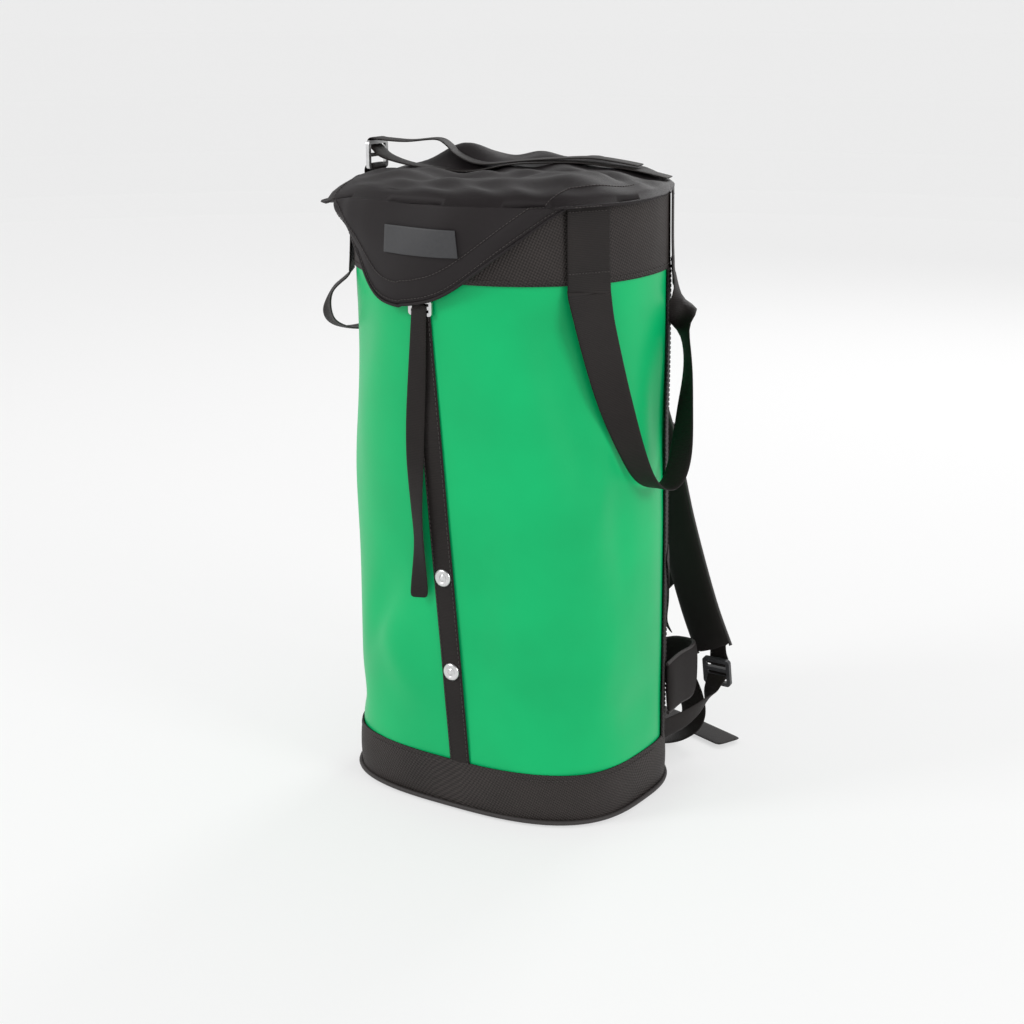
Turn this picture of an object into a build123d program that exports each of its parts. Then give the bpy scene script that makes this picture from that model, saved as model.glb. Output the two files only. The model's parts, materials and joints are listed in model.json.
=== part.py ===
"""Rope storage bag: a haul-style rope bag with a coated fabric tube, a nylon
boot and collar, a lid with a cinch strap, two haul loops and a carrying harness.

Millimetres, +Z up, origin at the centre of the base.  The bag's front looks
along -Y, the harness is on +Y, and "right" is +X.
"""
from build123d import *
import math
import os

os.makedirs("parts", exist_ok=True)

# ---------------------------------------------------------------- driving sizes
RIM_Z = 650.0            # height of the bag's mouth
BASE_HALF_WIDTH = 163.0
BASE_HALF_DEPTH = 121.0
MID_HALF_WIDTH = 162.0
MID_HALF_DEPTH = 137.0
MOUTH_HALF_WIDTH = 160.0
MOUTH_HALF_DEPTH = 154.0
BASE_SQUARENESS = 2.9    # exponent of the rounded oval: 2 is an ellipse
MID_SQUARENESS = 2.5
MOUTH_SQUARENESS = 2.1
MID_SHARE = 0.46         # where the middle section sits, as a share of the height

FABRIC = 1.2             # coated fabric of the tube
NYLON = 1.6              # nylon of the boot, collar and lid
WEB = 1.8                # thickness of webbing
GAP = 0.1                # clearance between sewn layers
BOOT_HEIGHT = 56.0
BOOT_FLOOR = 2.0
COLLAR_DEPTH = 83.0
BINDING_HEIGHT = 7.0
BODY_WEB_WIDTH = 25.0
SIDE_WEB_ANGLE = 112.0   # from the front centre round to the side webbing
RIVET_HEIGHTS = (261.0, 158.0)
RIVET_RADIUS = 9.5
RIVET_THICKNESS = 2.4
RIVET_GAP = 0.75
FRONT_WEB_FOOT_X = 15.8  # the front webbing's foot, right of the centre
FRONT_WEB_SLANT = 0.053  # and its lean to the left, per unit of height
BADGE_WIDTH = 86.0       # side badge
BADGE_HEIGHT = 60.0
BADGE_ANGLE = -91.0
BADGE_THICKNESS = 2.0

HAUL_WIDTH = 48.0
HAUL_ANGLE = 59.0        # haul loops' front ends, from the front centre
HAUL_BACK_ANGLE = 117.0
HAUL_HINGE_DROP = 9.0    # the loop bends this far under the collar
HAUL_STAND = 8.0         # and this far out from the skin
HAUL_THICKNESS = 2.0

LID_OVERHANG = 7.0       # clearance of the lid outside the collar
LID_RISE = 16.0          # the lid's crown above the mouth
LID_LIFT = 2.0           # gap between the mouth and the lid's edge
TONGUE_HALF_WIDTH = 138.0
TONGUE_DROP = 113.0
TONGUE_TIP = 34.0        # half width of the rounded tip
TONGUE_TIP_X = -24.0     # the lid sits twisted, so its tip hangs to the left
LID_BACK_EDGE = 149.0
LID_BADGE_WIDTH = 70.0
LID_BADGE_HEIGHT = 27.0
RING_WIDTH = 34.0        # cinch ring on the lid strap
RING_HEIGHT = 30.0
RING_BAR = 4.0
RING_X = -166.0
RING_Y = -8.0
RING_FOOT = RIM_Z + 5
STRAP_WIDTH = 25.0
TAIL_THICKNESS = 1.6      # thin webbing of the loose tails
PAD_WIDTH = 62.0
PAD_THICKNESS = 12.0
HIP_WIDTH = 60.0
LUMBAR_WIDTH = 196.0
LUMBAR_PEAK = 176.0
LUMBAR_SLOPE = 26.0      # the lumbar pad's top falls this much to its sides
HIP_WEB_WIDTH = 38.0
WING_THICKNESS = 10.0
SLOT_Z = 488.0
SLOT_HALF_WIDTH = 112.0

WEB_TOP = RIM_Z - COLLAR_DEPTH
RIM_PLAY = 0.4

SKIRT_RISE = 2.0         # the inner skirt above the mouth
CORD_DIAMETER = 4.0
CORD_PLAY = 0.5
LOCK_RADIUS = 7.6        # cord lock hanging in the mouth
LOCK_HEIGHT = 22.0
LOCK_DROP = 20.0         # its centre under the mouth
LOCK_CORD_X = 5.8
LOCK_BITE = 6.0          # how deep the cord's legs go into the lock
PLUNGER_RADIUS = 4.0
PLUNGER_HEIGHT = 17.0


# ---------------------------------------------------------------- helpers
def girth(z):
    """Half width, half depth and squareness of the tube at height z."""
    mid = RIM_Z * MID_SHARE
    low = (BASE_HALF_WIDTH, BASE_HALF_DEPTH, BASE_SQUARENESS)
    middle = (MID_HALF_WIDTH, MID_HALF_DEPTH, MID_SQUARENESS)
    high = (MOUTH_HALF_WIDTH, MOUTH_HALF_DEPTH, MOUTH_SQUARENESS)
    if z <= mid:
        share, start, end = max(z, 0.0) / mid, low, middle
    else:
        share, start, end = min((z - mid) / (RIM_Z - mid), 1.0), middle, high
    return [a + (b - a) * share for a, b in zip(start, end)]


def on_skin(angle, z, off=0.0):
    """Point on the tube at an angle in degrees: 0 is front, 90 is right, 180 is back."""
    a, b, n = girth(z)
    s, c = math.sin(math.radians(angle)), math.cos(math.radians(angle))
    x = (a + off) * math.copysign(abs(s) ** (2 / n), s)
    y = -(b + off) * math.copysign(abs(c) ** (2 / n), c)
    return Vector(x, y, z)


def around(angle, z):
    """Horizontal direction along the skin, towards growing angle."""
    return (on_skin(angle + 0.5, z) - on_skin(angle - 0.5, z)).normalized()


def oval(z, off):
    """Closed spline round the tube at height z, grown outwards by off."""
    steps = 36
    points = [on_skin(360 * (i + 0.5) / steps, z, off) for i in range(steps)]
    return Wire([Edge.make_spline(points, periodic=True)])


def column(z0, z1, off):
    """Solid column inside the skin between two heights."""
    mid = RIM_Z * MID_SHARE
    levels = [z0] + [z for z in (mid / 2, mid, (mid + RIM_Z) / 2) if z0 < z < z1] + [z1]
    return Solid.make_loft([oval(z, off) for z in levels], ruled=True)


def skin(z0, z1, inner, outer):
    """Wall that follows the tube between two heights and two offsets."""
    core = Solid.make_loft([oval_at(z, inner) for z in core_levels(z0, z1)], ruled=True)
    return column(z0, z1, outer) - core


def core_levels(z0, z1):
    mid = RIM_Z * MID_SHARE
    inside = [z for z in (mid / 2, mid, (mid + RIM_Z) / 2) if z0 < z < z1]
    return [(z0, -1.0)] + [(z, 0.0) for z in [z0] + inside + [z1]] + [(z1, 1.0)]


def oval_at(level, off):
    z, past = level
    return oval(z, off).moved(Location((0, 0, past)))


def slab(angle, z0, z1, width):
    """Block that cuts a strip of the given width out of a wall at an angle."""
    mid = (z0 + z1) / 2
    plane = Plane(on_skin(angle, mid), x_dir=around(angle, mid), z_dir=Vector(0, 0, 1))
    return plane.location * Box(width, 70, z1 - z0)


def patch(angle, z0, z1, width, inner, outer):
    """Strip of webbing or plate lying on the tube."""
    return skin(z0, z1, inner, outer) & slab(angle, z0, z1, width)


def ribbon(stations, thickness):
    """Flat band through stations of (point, width direction, width)."""
    points = [Vector(*s[0]) for s in stations]
    wires = []
    for i, (_, across, width) in enumerate(stations):
        ahead = points[min(i + 1, len(points) - 1)] - points[max(i - 1, 0)]
        side = Vector(*across).normalized()
        ahead = ahead.normalized()
        side = (side - ahead * side.dot(ahead)).normalized()
        up = ahead.cross(side).normalized()
        p = points[i]
        corners = [
            p + side * (sx * width / 2) + up * (sy * thickness / 2)
            for sx, sy in ((-1, -1), (1, -1), (1, 1), (-1, 1))
        ]
        wires.append(Wire.make_polygon(corners, close=True))
    return Solid.make_loft(wires, ruled=True)


def mirrored(stations, flip):
    """The stations as given for flip +1, or their mirror image in X for flip -1."""
    return [((flip * p[0], p[1], p[2]), (flip * w[0], w[1], w[2]), k) for p, w, k in stations]


def frame_plate(width, height, thick, bar, cross_bars=(0.0,)):
    """Flat buckle frame in XY with rounded corners and bars across it along X."""
    body = extrude(RectangleRounded(width, height, min(bar, width / 4)), thick / 2, both=True)
    edges = [-height / 2 + bar / 2] + sorted(cross_bars) + [height / 2 - bar / 2]
    for low, high in zip(edges, edges[1:]):
        opening = high - low - bar
        body -= Location((0, (low + high) / 2, 0)) * Box(width - 2 * bar, opening, thick * 2)
    return body


def turned(shape, origin, x_dir, z_dir):
    return Plane(Vector(*origin), x_dir=Vector(*x_dir), z_dir=Vector(*z_dir)).location * shape


def save(name, *shapes):
    solids = [s for shape in shapes for s in shape.solids()]
    part = solids[0] if len(solids) == 1 else Compound(solids)
    part.label = name
    export_step(part, f"parts/{name}.step")
    print(name, len(solids), round(sum(s.volume for s in solids) / 1000, 2), "cm3")


SIDES = (("left", -1), ("right", 1))


# ---------------------------------------------------------------- bag body
def bag_body():
    tube = skin(BOOT_FLOOR + GAP, RIM_Z - RIM_PLAY, -FABRIC, 0)
    slot = Location((0, MOUTH_HALF_DEPTH, SLOT_Z)) * Box(2 * SLOT_HALF_WIDTH, 90, 6)
    save("bag_tube", tube - slot)
    boot = column(0, BOOT_FLOOR, GAP + NYLON) + skin(BOOT_FLOOR, BOOT_HEIGHT, GAP, GAP + NYLON)
    save("base_boot", boot)
    binding_off = GAP + NYLON + GAP
    save("boot_binding", skin(0, BINDING_HEIGHT, binding_off, binding_off + 2.4))
    save("base_panel", column(BOOT_FLOOR + 2 * GAP, BOOT_FLOOR + 4, -FABRIC - 2))
    back = skin(12, 470, -FABRIC - 7, -FABRIC - GAP)
    save("back_panel", back & (Location((0, 100, 240)) * Box(210, 160, 500)))
    save("collar", skin(WEB_TOP, RIM_Z, GAP, GAP + NYLON))


def mouth():
    save("skirt", skin(RIM_Z - 60, RIM_Z + SKIRT_RISE, -FABRIC - 2, -FABRIC - 1))
    cord_off = -FABRIC - 2 - CORD_PLAY
    ring = skin(RIM_Z - CORD_DIAMETER / 2, RIM_Z + CORD_DIAMETER / 2, cord_off - CORD_DIAMETER, cord_off)
    lock_y = LOCK_RADIUS + 2.5 - (MOUTH_HALF_DEPTH + cord_off - CORD_DIAMETER)
    lock_z = RIM_Z - LOCK_DROP
    legs = []
    for flip in (-1, 1):
        foot = (flip * LOCK_CORD_X, lock_y, lock_z + LOCK_HEIGHT / 2 - LOCK_BITE)
        bend = (flip * LOCK_CORD_X, lock_y, RIM_Z - 6)
        top = (flip * (LOCK_CORD_X + 4), lock_y - LOCK_RADIUS - 2.5, RIM_Z - 1.5)
        line = Polyline(foot, bend, top)
        section = Plane(foot, z_dir=line % 0) * Circle(1.1)
        legs.append(sweep(section, path=line, transition=Transition.ROUND))
    save("drawcord", ring + legs[0] + legs[1])
    lock = Location((0, lock_y, lock_z)) * Cylinder(LOCK_RADIUS, LOCK_HEIGHT)
    lock -= Location((0, lock_y, lock_z + 3)) * Cylinder(PLUNGER_RADIUS + 0.3, LOCK_HEIGHT)
    for flip in (-1, 1):
        at = (flip * LOCK_CORD_X, lock_y, lock_z + LOCK_HEIGHT / 2)
        lock -= Location(at) * Cylinder(1.25, 2 * LOCK_BITE + 1)
    save("cord_lock", lock)
    plunger = Location((0, lock_y, lock_z + 5)) * Cylinder(PLUNGER_RADIUS, PLUNGER_HEIGHT)
    save("cord_lock_plunger", plunger)


def front_web_x(z):
    """Centre of the slanting front webbing at a height."""
    return FRONT_WEB_FOOT_X - FRONT_WEB_SLANT * (z - BOOT_HEIGHT)


def body_webbing():
    base = BOOT_HEIGHT + GAP
    top = WEB_TOP - GAP
    lean = math.degrees(math.atan(FRONT_WEB_SLANT))
    strip = Location((front_web_x((base + top) / 2), -140, (base + top) / 2), (0, -lean, 0))
    strip = strip * Box(BODY_WEB_WIDTH, 90, top - base + 40)
    save("front_webbing", skin(base, top, GAP, GAP + WEB) & strip)
    for side, flip in SIDES:
        strip = patch(flip * SIDE_WEB_ANGLE, base, top, BODY_WEB_WIDTH, GAP, GAP + WEB)
        save(f"side_webbing_{side}", strip)
    rivets = []
    for z in RIVET_HEIGHTS:
        seat = -(girth(z)[1] + GAP + WEB + RIVET_GAP)
        disc = Rot(90, 0, 0) * Cylinder(RIVET_RADIUS, RIVET_THICKNESS)
        rivets.append(Location((front_web_x(z), seat - RIVET_THICKNESS / 2, z)) * disc)
    save("webbing_rivets", *rivets)
    high = WEB_TOP - 2
    low = high - BADGE_HEIGHT
    save("side_badge", patch(BADGE_ANGLE, low, high, BADGE_WIDTH, GAP, GAP + BADGE_THICKNESS))


# ---------------------------------------------------------------- haul loops
HAUL_Z = WEB_TOP - HAUL_HINGE_DROP


def haul_patches():
    inner = GAP + NYLON + GAP
    strips = []
    for flip in (-1, 1):
        for angle in (HAUL_ANGLE, HAUL_BACK_ANGLE):
            strips.append(patch(flip * angle, WEB_TOP + 1, RIM_Z - 2, HAUL_WIDTH, inner, inner + WEB))
    save("haul_patches", *strips)


def haul_end(angle, flip):
    """Where a loop leaves the collar, and the direction of its width there."""
    p = on_skin(angle, HAUL_Z, HAUL_STAND)
    w = around(angle, HAUL_Z)
    return (p.X, p.Y, p.Z), (w.X, w.Y, 0)


def haul_loops():
    front, front_across = haul_end(HAUL_ANGLE, 1)
    back, back_across = haul_end(HAUL_BACK_ANGLE, 1)
    long_loop = [
        (front, front_across, HAUL_WIDTH),
        ((152, -84, 520), (0.5, 0.85, 0), 44),
        ((163, -72, 460), (0.7, 0.7, 0), 36),
        ((173, -52, 405), (0.9, 0.4, 0), 28),
        ((178, -30, 368), (1, 0.2, 0), 26),
        ((182, -6, 351), (1, 0, 0), 26),
        ((184, 18, 353), (1, 0, 0), 26),
        ((183, 36, 375), (1, -0.1, 0), 28),
        ((181, 48, 420), (0.8, -0.5, 0), 34),
        ((176, 60, 480), (0.6, -0.75, 0), 42),
        (back, back_across, HAUL_WIDTH),
    ]
    save("haul_loop_right", ribbon(long_loop, HAUL_THICKNESS))
    short_loop = [
        (front, front_across, HAUL_WIDTH),
        ((163, -92, 536), (0.55, 0.8, 0), 36),
        ((176, -82, 508), (0.8, 0.5, 0), 28),
        ((184, -52, 490), (1, 0.1, 0), 26),
        ((184, -14, 483), (1, 0, 0), 26),
        ((181, 26, 487), (1, 0, 0), 26),
        ((175, 62, 505), (0.9, -0.3, 0), 28),
        ((165, 80, 532), (0.6, -0.75, 0), 36),
        (back, back_across, HAUL_WIDTH),
    ]
    save("haul_loop_left", ribbon(mirrored(short_loop, -1), HAUL_THICKNESS))


# ---------------------------------------------------------------- lid
def crown(off, drop):
    """Closed dome over the mouth, grown by off and lowered by drop."""
    foot = RIM_Z + LID_LIFT
    shares = ((0.0, 1.0), (0.42, 0.9), (0.78, 0.72), (0.96, 0.4), (1.0, 0.06))
    wires = []
    for rise, share in shares:
        z = foot + (LID_RISE - LID_LIFT - drop) * rise
        wires.append(oval(RIM_Z, off).scale(share).moved(Location((0, 0, z - RIM_Z * share))))
    return Solid.make_loft(wires, ruled=True)


def tongue_outline(grow):
    """Front view of the lid's tongue, as a face in XZ: a triangle with a rounded tip."""
    top = RIM_Z + LID_LIFT
    low = top - TONGUE_DROP - grow
    half = TONGUE_HALF_WIDTH + grow
    with BuildSketch(Plane.XZ) as sketch:
        with BuildLine():
            Polyline(
                (-half, top), (half, top), (half, top - 10), (TONGUE_TIP_X + TONGUE_TIP, low),
                (TONGUE_TIP_X - TONGUE_TIP, low), (-half, top - 10), (-half, top),
            )
        make_face()
        fillet(sketch.vertices().group_by(Axis.Y)[0], 26)
    return sketch.sketch


def front_wall(inner, outer, outline):
    """Part of a wall in front of the bag inside a front-view outline."""
    wall = skin(RIM_Z - 125, RIM_Z + LID_LIFT, inner, outer)
    return wall & extrude(outline, 400, both=False)


def lid():
    inner = GAP + NYLON + LID_OVERHANG
    outer = inner + NYLON
    shell = crown(outer, 0) - crown(inner, NYLON).moved(Location((0, 0, -0.01)))
    keep = Location((0, LID_BACK_EDGE - 250, RIM_Z)) * Box(500, 500, 300)
    tongue = front_wall(inner, outer, tongue_outline(0))
    save("lid_sheet", (shell & keep) + tongue)
    rim = front_wall(outer + GAP, outer + GAP + 1.4, tongue_outline(0) - tongue_outline(-6))
    cut = Location((0, 0, RIM_Z + 40)) * Box(500, 500, 80)
    save("lid_binding", max((rim - cut).solids(), key=lambda s: s.volume))
    badge_z = RIM_Z - 42
    half = LID_BADGE_HEIGHT / 2
    badge = skin(badge_z - half, badge_z + half, outer + GAP, outer + GAP + BADGE_THICKNESS)
    save("lid_badge", badge & (Location((0, -150, badge_z)) * Box(LID_BADGE_WIDTH, 80, 60)))


def lid_strap():
    high = RIM_Z + LID_RISE
    slant = (0.24, -0.97, 0)
    across = (0, -1, 0)
    main = [
        ((146, 68, high - 4.5), slant, STRAP_WIDTH),
        ((118, 62, high), slant, STRAP_WIDTH),
        ((60, 50, high + 3), slant, STRAP_WIDTH),
        ((-62, 22, high + 3), slant, STRAP_WIDTH),
        ((-118, 2, high + 2), (0.1, -0.99, 0), STRAP_WIDTH),
        ((-150, RING_Y, high + 4), across, STRAP_WIDTH),
        ((RING_X, RING_Y, RING_FOOT + 19.2), across, STRAP_WIDTH),
    ]
    tail = [
        ((RING_X, RING_Y, RING_FOOT + 23), across, STRAP_WIDTH),
        ((-150, RING_Y, high + 11), across, STRAP_WIDTH),
        ((-128, 16, high + 13), (0.2, -0.97, 0), STRAP_WIDTH),
        ((-108, 34, high + 15), (0.3, -0.95, 0), STRAP_WIDTH),
        ((-78, 36, high + 8), (0.3, -0.95, 0), STRAP_WIDTH),
        ((-50, 38, high + 6.5), slant, STRAP_WIDTH),
        ((60, 61, high + 6.5), slant, STRAP_WIDTH),
        ((104, 70, high + 5), slant, STRAP_WIDTH),
    ]
    save("lid_strap", ribbon(main, WEB), ribbon(tail, WEB))
    ring = frame_plate(RING_WIDTH, RING_HEIGHT, RING_BAR, RING_BAR)
    save("lid_ring", turned(ring, (RING_X, RING_Y, RING_FOOT + RING_HEIGHT / 2), (0, 1, 0), (1, 0, 0)))
    stand = GAP + NYLON + GAP
    sewn = patch(-90, RIM_Z - 40, RIM_Z - 9, STRAP_WIDTH, stand + 0.3, stand + 0.3 + WEB)
    lid_side = MOUTH_HALF_WIDTH + GAP + 2 * NYLON + LID_OVERHANG
    arm = [
        ((-MOUTH_HALF_WIDTH - stand - WEB, RING_Y, RIM_Z - 8.5), (0, 1, 0), STRAP_WIDTH),
        ((-lid_side - 3, RING_Y, RIM_Z - 2), (0, 1, 0), STRAP_WIDTH),
        ((-lid_side - 2.6, RING_Y, RING_FOOT + 3), (0, 1, 0), STRAP_WIDTH),
    ]
    save("ring_anchor", sewn, ribbon(arm, WEB))


def front_point(x, z, off):
    """Point in front of the bag at a distance off the middle of its front."""
    return (x, -(girth(z)[1] + off), z)


def front_tail():
    tip = RIM_Z + LID_LIFT - TONGUE_DROP
    buckle = frame_plate(28, 16, 2.4, 3.4)
    seat = front_point(-8, tip + 2, GAP + WEB + 1.9)
    save("tail_buckle", turned(buckle, seat, (1, 0, 0), (0, -1, 0)))
    route = [
        (front_point(-8, tip + 7, 6.4), (1, 0, 0), 18),
        (front_point(-12, tip - 60, 8), (1, 0.1, 0), 21),
        (front_point(-18, tip - 130, 9), (0.9, 0.4, 0), 20),
        (front_point(-21, tip - 200, 8), (0.95, -0.3, 0), 20),
        (front_point(-18, tip - 255, 8.5), (1, -0.5, 0), 18),
        (front_point(-22, tip - 303, 8.5), (0.9, 0.5, 0), 18),
    ]
    save("front_tail", ribbon(route, TAIL_THICKNESS))


# ---------------------------------------------------------------- harness, fixed parts
TAB_X = {"left": -54.0, "right": 47.0}
RING_AT = {"left": (-36, 172, 530), "right": (58, 168, 530)}


def angle_at(x, z):
    """Angle on the back of the tube whose point lies at the given x."""
    a, _, n = girth(z)
    return 180 - math.degrees(math.asin((abs(x) / a) ** (n / 2))) * math.copysign(1, x)


def back_tabs():
    inner = GAP + NYLON + GAP
    for side, flip in SIDES:
        x = TAB_X[side]
        angle = angle_at(x, RIM_Z - 60)
        tab = patch(angle, WEB_TOP - 4, RIM_Z - 38, 48, inner, inner + WEB)
        p = on_skin(angle, WEB_TOP - 6, inner + 6.4)
        along = around(angle, WEB_TOP - 6) * -1
        ring_x, ring_y, ring_z = RING_AT[side]
        knot = ribbon([
            ((p.X, p.Y, p.Z), (along.X, along.Y, 0), 40),
            ((p.X * 0.7 + ring_x * 0.3, p.Y + 4, WEB_TOP - 14), (1, 0, 0), 27),
            ((ring_x, ring_y, ring_z + 20.5), (1, 0, 0), 23),
        ], 3.0)
        save(f"back_tab_{side}", tab, knot)
        ring = frame_plate(34, 36, 4.5, 4.5, cross_bars=(-4.5,))
        save(f"lifter_ring_{side}", turned(ring, (ring_x, ring_y, ring_z), (1, 0, 0), (0, 1, 0.12)))


def slot_parts():
    lip_z = SLOT_Z + 4
    lip = skin(lip_z, lip_z + 26, GAP + 4, GAP + 4 + FABRIC)
    lens = Location((0, MOUTH_HALF_DEPTH, lip_z - 170 + 26)) * (Rot(90, 0, 0) * Cylinder(170, 60))
    low = Location((0, MOUTH_HALF_DEPTH, lip_z - 8 + 180)) * (Rot(90, 0, 0) * Cylinder(176, 60))
    width = Location((0, MOUTH_HALF_DEPTH, lip_z)) * Box(2 * SLOT_HALF_WIDTH - 10, 60, 80)
    save("slot_lip", lip & lens & width)
    sleeve = skin(300, SLOT_Z + 20, -FABRIC - 9, -FABRIC - 8)
    save("stow_sleeve", sleeve & (Location((0, 120, 400)) * Box(200, 120, 300)))


def lumbar():
    lower, upper = BOOT_HEIGHT + 12, LUMBAR_PEAK
    pad = skin(lower, upper, GAP + 2, GAP + 15)
    with BuildSketch(Plane.XZ) as face:
        half = LUMBAR_WIDTH / 2
        Polygon((-half, lower), (half, lower), (half, upper - LUMBAR_SLOPE), (0, upper),
                (-half, upper - LUMBAR_SLOPE), align=None)
    save("lumbar_pad", pad & extrude(face.sketch, -400))
    straps = []
    for flip in (-1, 1):
        stations = []
        for angle, z in ((118, 240), (126, 205), (133, 176)):
            p = on_skin(angle, z, GAP + WEB + 2.2)
            w = around(angle, z)
            stations.append(((p.X, p.Y, p.Z), (w.X, w.Y, 0.2), STRAP_WIDTH))
        straps.append(ribbon(mirrored(stations, flip), WEB))
    save("stabilisers", *straps)


def hip_belt():
    up = (0, 0, 1)
    left = [
        ((-147, 100, 110), up, HIP_WIDTH), ((-154, 126, 109), up, HIP_WIDTH),
        ((-141, 152, 106), up, HIP_WIDTH), ((-110, 164, 102), up, HIP_WIDTH),
        ((-70, 168, 97), up, HIP_WIDTH), ((-42, 170, 93), up, 52),
    ]
    right = [
        ((147, 100, 108), up, HIP_WIDTH), ((155, 126, 106), up, HIP_WIDTH),
        ((143, 154, 102), up, HIP_WIDTH), ((118, 167, 97), up, HIP_WIDTH), ((96, 172, 94), up, 52),
    ]
    save("hip_wing_left", ribbon(left, WING_THICKNESS))
    save("hip_wing_right", ribbon(right, WING_THICKNESS))
    webs = [
        ribbon([((-41, 176, 93), up, HIP_WEB_WIDTH), ((-18, 178, 92), up, HIP_WEB_WIDTH)], WEB),
        ribbon([((95, 179, 94), up, HIP_WEB_WIDTH), ((76, 179, 92), up, HIP_WEB_WIDTH)], WEB),
    ]
    save("hip_webbing", *webs)


BUCKLE_Y = 178.0
BUCKLE_Z = 92.0
SOCKET_X0, SOCKET_X1 = 28.0, 74.0
BUCKLE_HEIGHT = 48.0
BUCKLE_THICK = 14.0
PRONG_PLAY = 0.4


def hip_buckle():
    """Side-release buckle: the plug's two prongs sit in the socket and press inwards."""
    mid = (SOCKET_X0 + SOCKET_X1) / 2
    length = SOCKET_X1 - SOCKET_X0
    shell = Location((mid, BUCKLE_Y, BUCKLE_Z)) * Box(length, BUCKLE_THICK, BUCKLE_HEIGHT)
    room = BUCKLE_THICK - 4.4
    cavity = Location((mid - 7, BUCKLE_Y, BUCKLE_Z)) * Box(length - 12, room, BUCKLE_HEIGHT - 5)
    windows = Location((SOCKET_X0 + 16, BUCKLE_Y, BUCKLE_Z)) * Box(16, room, BUCKLE_HEIGHT + 4)
    web_slot = Location((SOCKET_X1 - 4, BUCKLE_Y, BUCKLE_Z)) * Box(3, 40, HIP_WEB_WIDTH + 2)
    save("hip_socket", shell - cavity - windows - web_slot)
    bar_x = SOCKET_X0 - 22
    bridge = Location((SOCKET_X0 - 5, BUCKLE_Y, BUCKLE_Z)) * Box(8, BUCKLE_THICK - 5, BUCKLE_HEIGHT - 2)
    rails = Location((bar_x + 7, BUCKLE_Y, BUCKLE_Z)) * Box(22, BUCKLE_THICK - 6, BUCKLE_HEIGHT - 2)
    rails -= Location((bar_x + 3, BUCKLE_Y, BUCKLE_Z)) * Box(5, 40, HIP_WEB_WIDTH + 1)
    rails -= Location((bar_x + 11, BUCKLE_Y, BUCKLE_Z)) * Box(4, 40, HIP_WEB_WIDTH + 1)
    tongue = Location((SOCKET_X0 + 10, BUCKLE_Y, BUCKLE_Z)) * Box(24, 4, 10)
    save("hip_plug", bridge + rails + tongue)
    for side, flip in (("lower", -1), ("upper", 1)):
        z = BUCKLE_Z + flip * (BUCKLE_HEIGHT / 2 - 7)
        arm = Location((SOCKET_X0 + 12, BUCKLE_Y, z)) * Box(25 - PRONG_PLAY, 6, 4)
        button = Location((SOCKET_X0 + 17, BUCKLE_Y, z + flip * 3.6)) * Box(13, 6, 6)
        save(f"hip_prong_{side}", arm + button)


def lower_straps():
    right = [
        ((139, 92, 44), (0.1, 0, 1), STRAP_WIDTH), ((152, 130, 50), (0.2, 0, 1), STRAP_WIDTH),
        ((158, 164, 60), (0.5, 0, 0.85), STRAP_WIDTH), ((157, 177, 72), (0.9, 0, 0.4), STRAP_WIDTH),
    ]
    left = [
        ((-141, 92, 40), (0.1, 0, 1), STRAP_WIDTH), ((-147, 130, 26), (0.3, 0, 0.95), STRAP_WIDTH),
        ((-138, 162, 26), (0.6, 0, 0.8), STRAP_WIDTH), ((-128, 177, 34), (0.9, 0, 0.4), STRAP_WIDTH),
    ]
    save("lower_strap_right", ribbon(right, WEB))
    save("lower_strap_left", ribbon(left, WEB))


# ---------------------------------------------------------------- harness, swinging parts
PAD_ROUTE = {
    "right": [
        (36, 160, 482), (54, 176, 424), (76, 188, 345), (98, 191, 257), (128, 192, 165), (152, 190, 112),
    ],
    "left": [
        (-58, 160, 482), (-60, 178, 422), (-57, 190, 340), (-49, 193, 252), (-72, 192, 164),
        (-118, 190, 87),
    ],
}
PAD_TURN = {"right": (0.97, -0.25, 0.1), "left": (0.98, 0.1, -0.12)}


def along_pad(side, lift, width, trim=0):
    points = PAD_ROUTE[side]
    points = points[trim:] if trim else points
    stations = []
    for x, y, z in points:
        stations.append(((x, y + lift, z), PAD_TURN[side], width))
    return stations


def shoulder_straps():
    for side, flip in SIDES:
        save(f"shoulder_pad_{side}", ribbon(along_pad(side, 0, PAD_WIDTH), PAD_THICKNESS))
        web_lift = PAD_THICKNESS / 2 + 2.2
        save(f"shoulder_webbing_{side}", ribbon(along_pad(side, web_lift, STRAP_WIDTH, 1), WEB))
        x, y, z = PAD_ROUTE[side][-1]
        lock = frame_plate(34, 34, 5, 4.5, cross_bars=(-3.5, 4.5))
        save(f"ladder_lock_{side}", turned(lock, (x + flip * 4, y + 1, z - 26), (1, 0, 0), (0, 1, 0.2)))


TRIGLIDE_AT = {"right": (73.0, 201.5, 357.0), "left": (-58.0, 201.5, 362.0)}


def triglides():
    for side, flip in SIDES:
        x, y, z = TRIGLIDE_AT[side]
        glide = frame_plate(33, 20, 3, 3.2)
        lean = (0, 1, 0.05) if side == "left" else (0, 1, 0.08)
        save(f"triglide_{side}", turned(glide, (x, y, z), (1, 0, 0.0), lean))


STERNUM_AT = (40, 212, 146)
STERNUM_TILT = (0.86, 0, 0.5)


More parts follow.
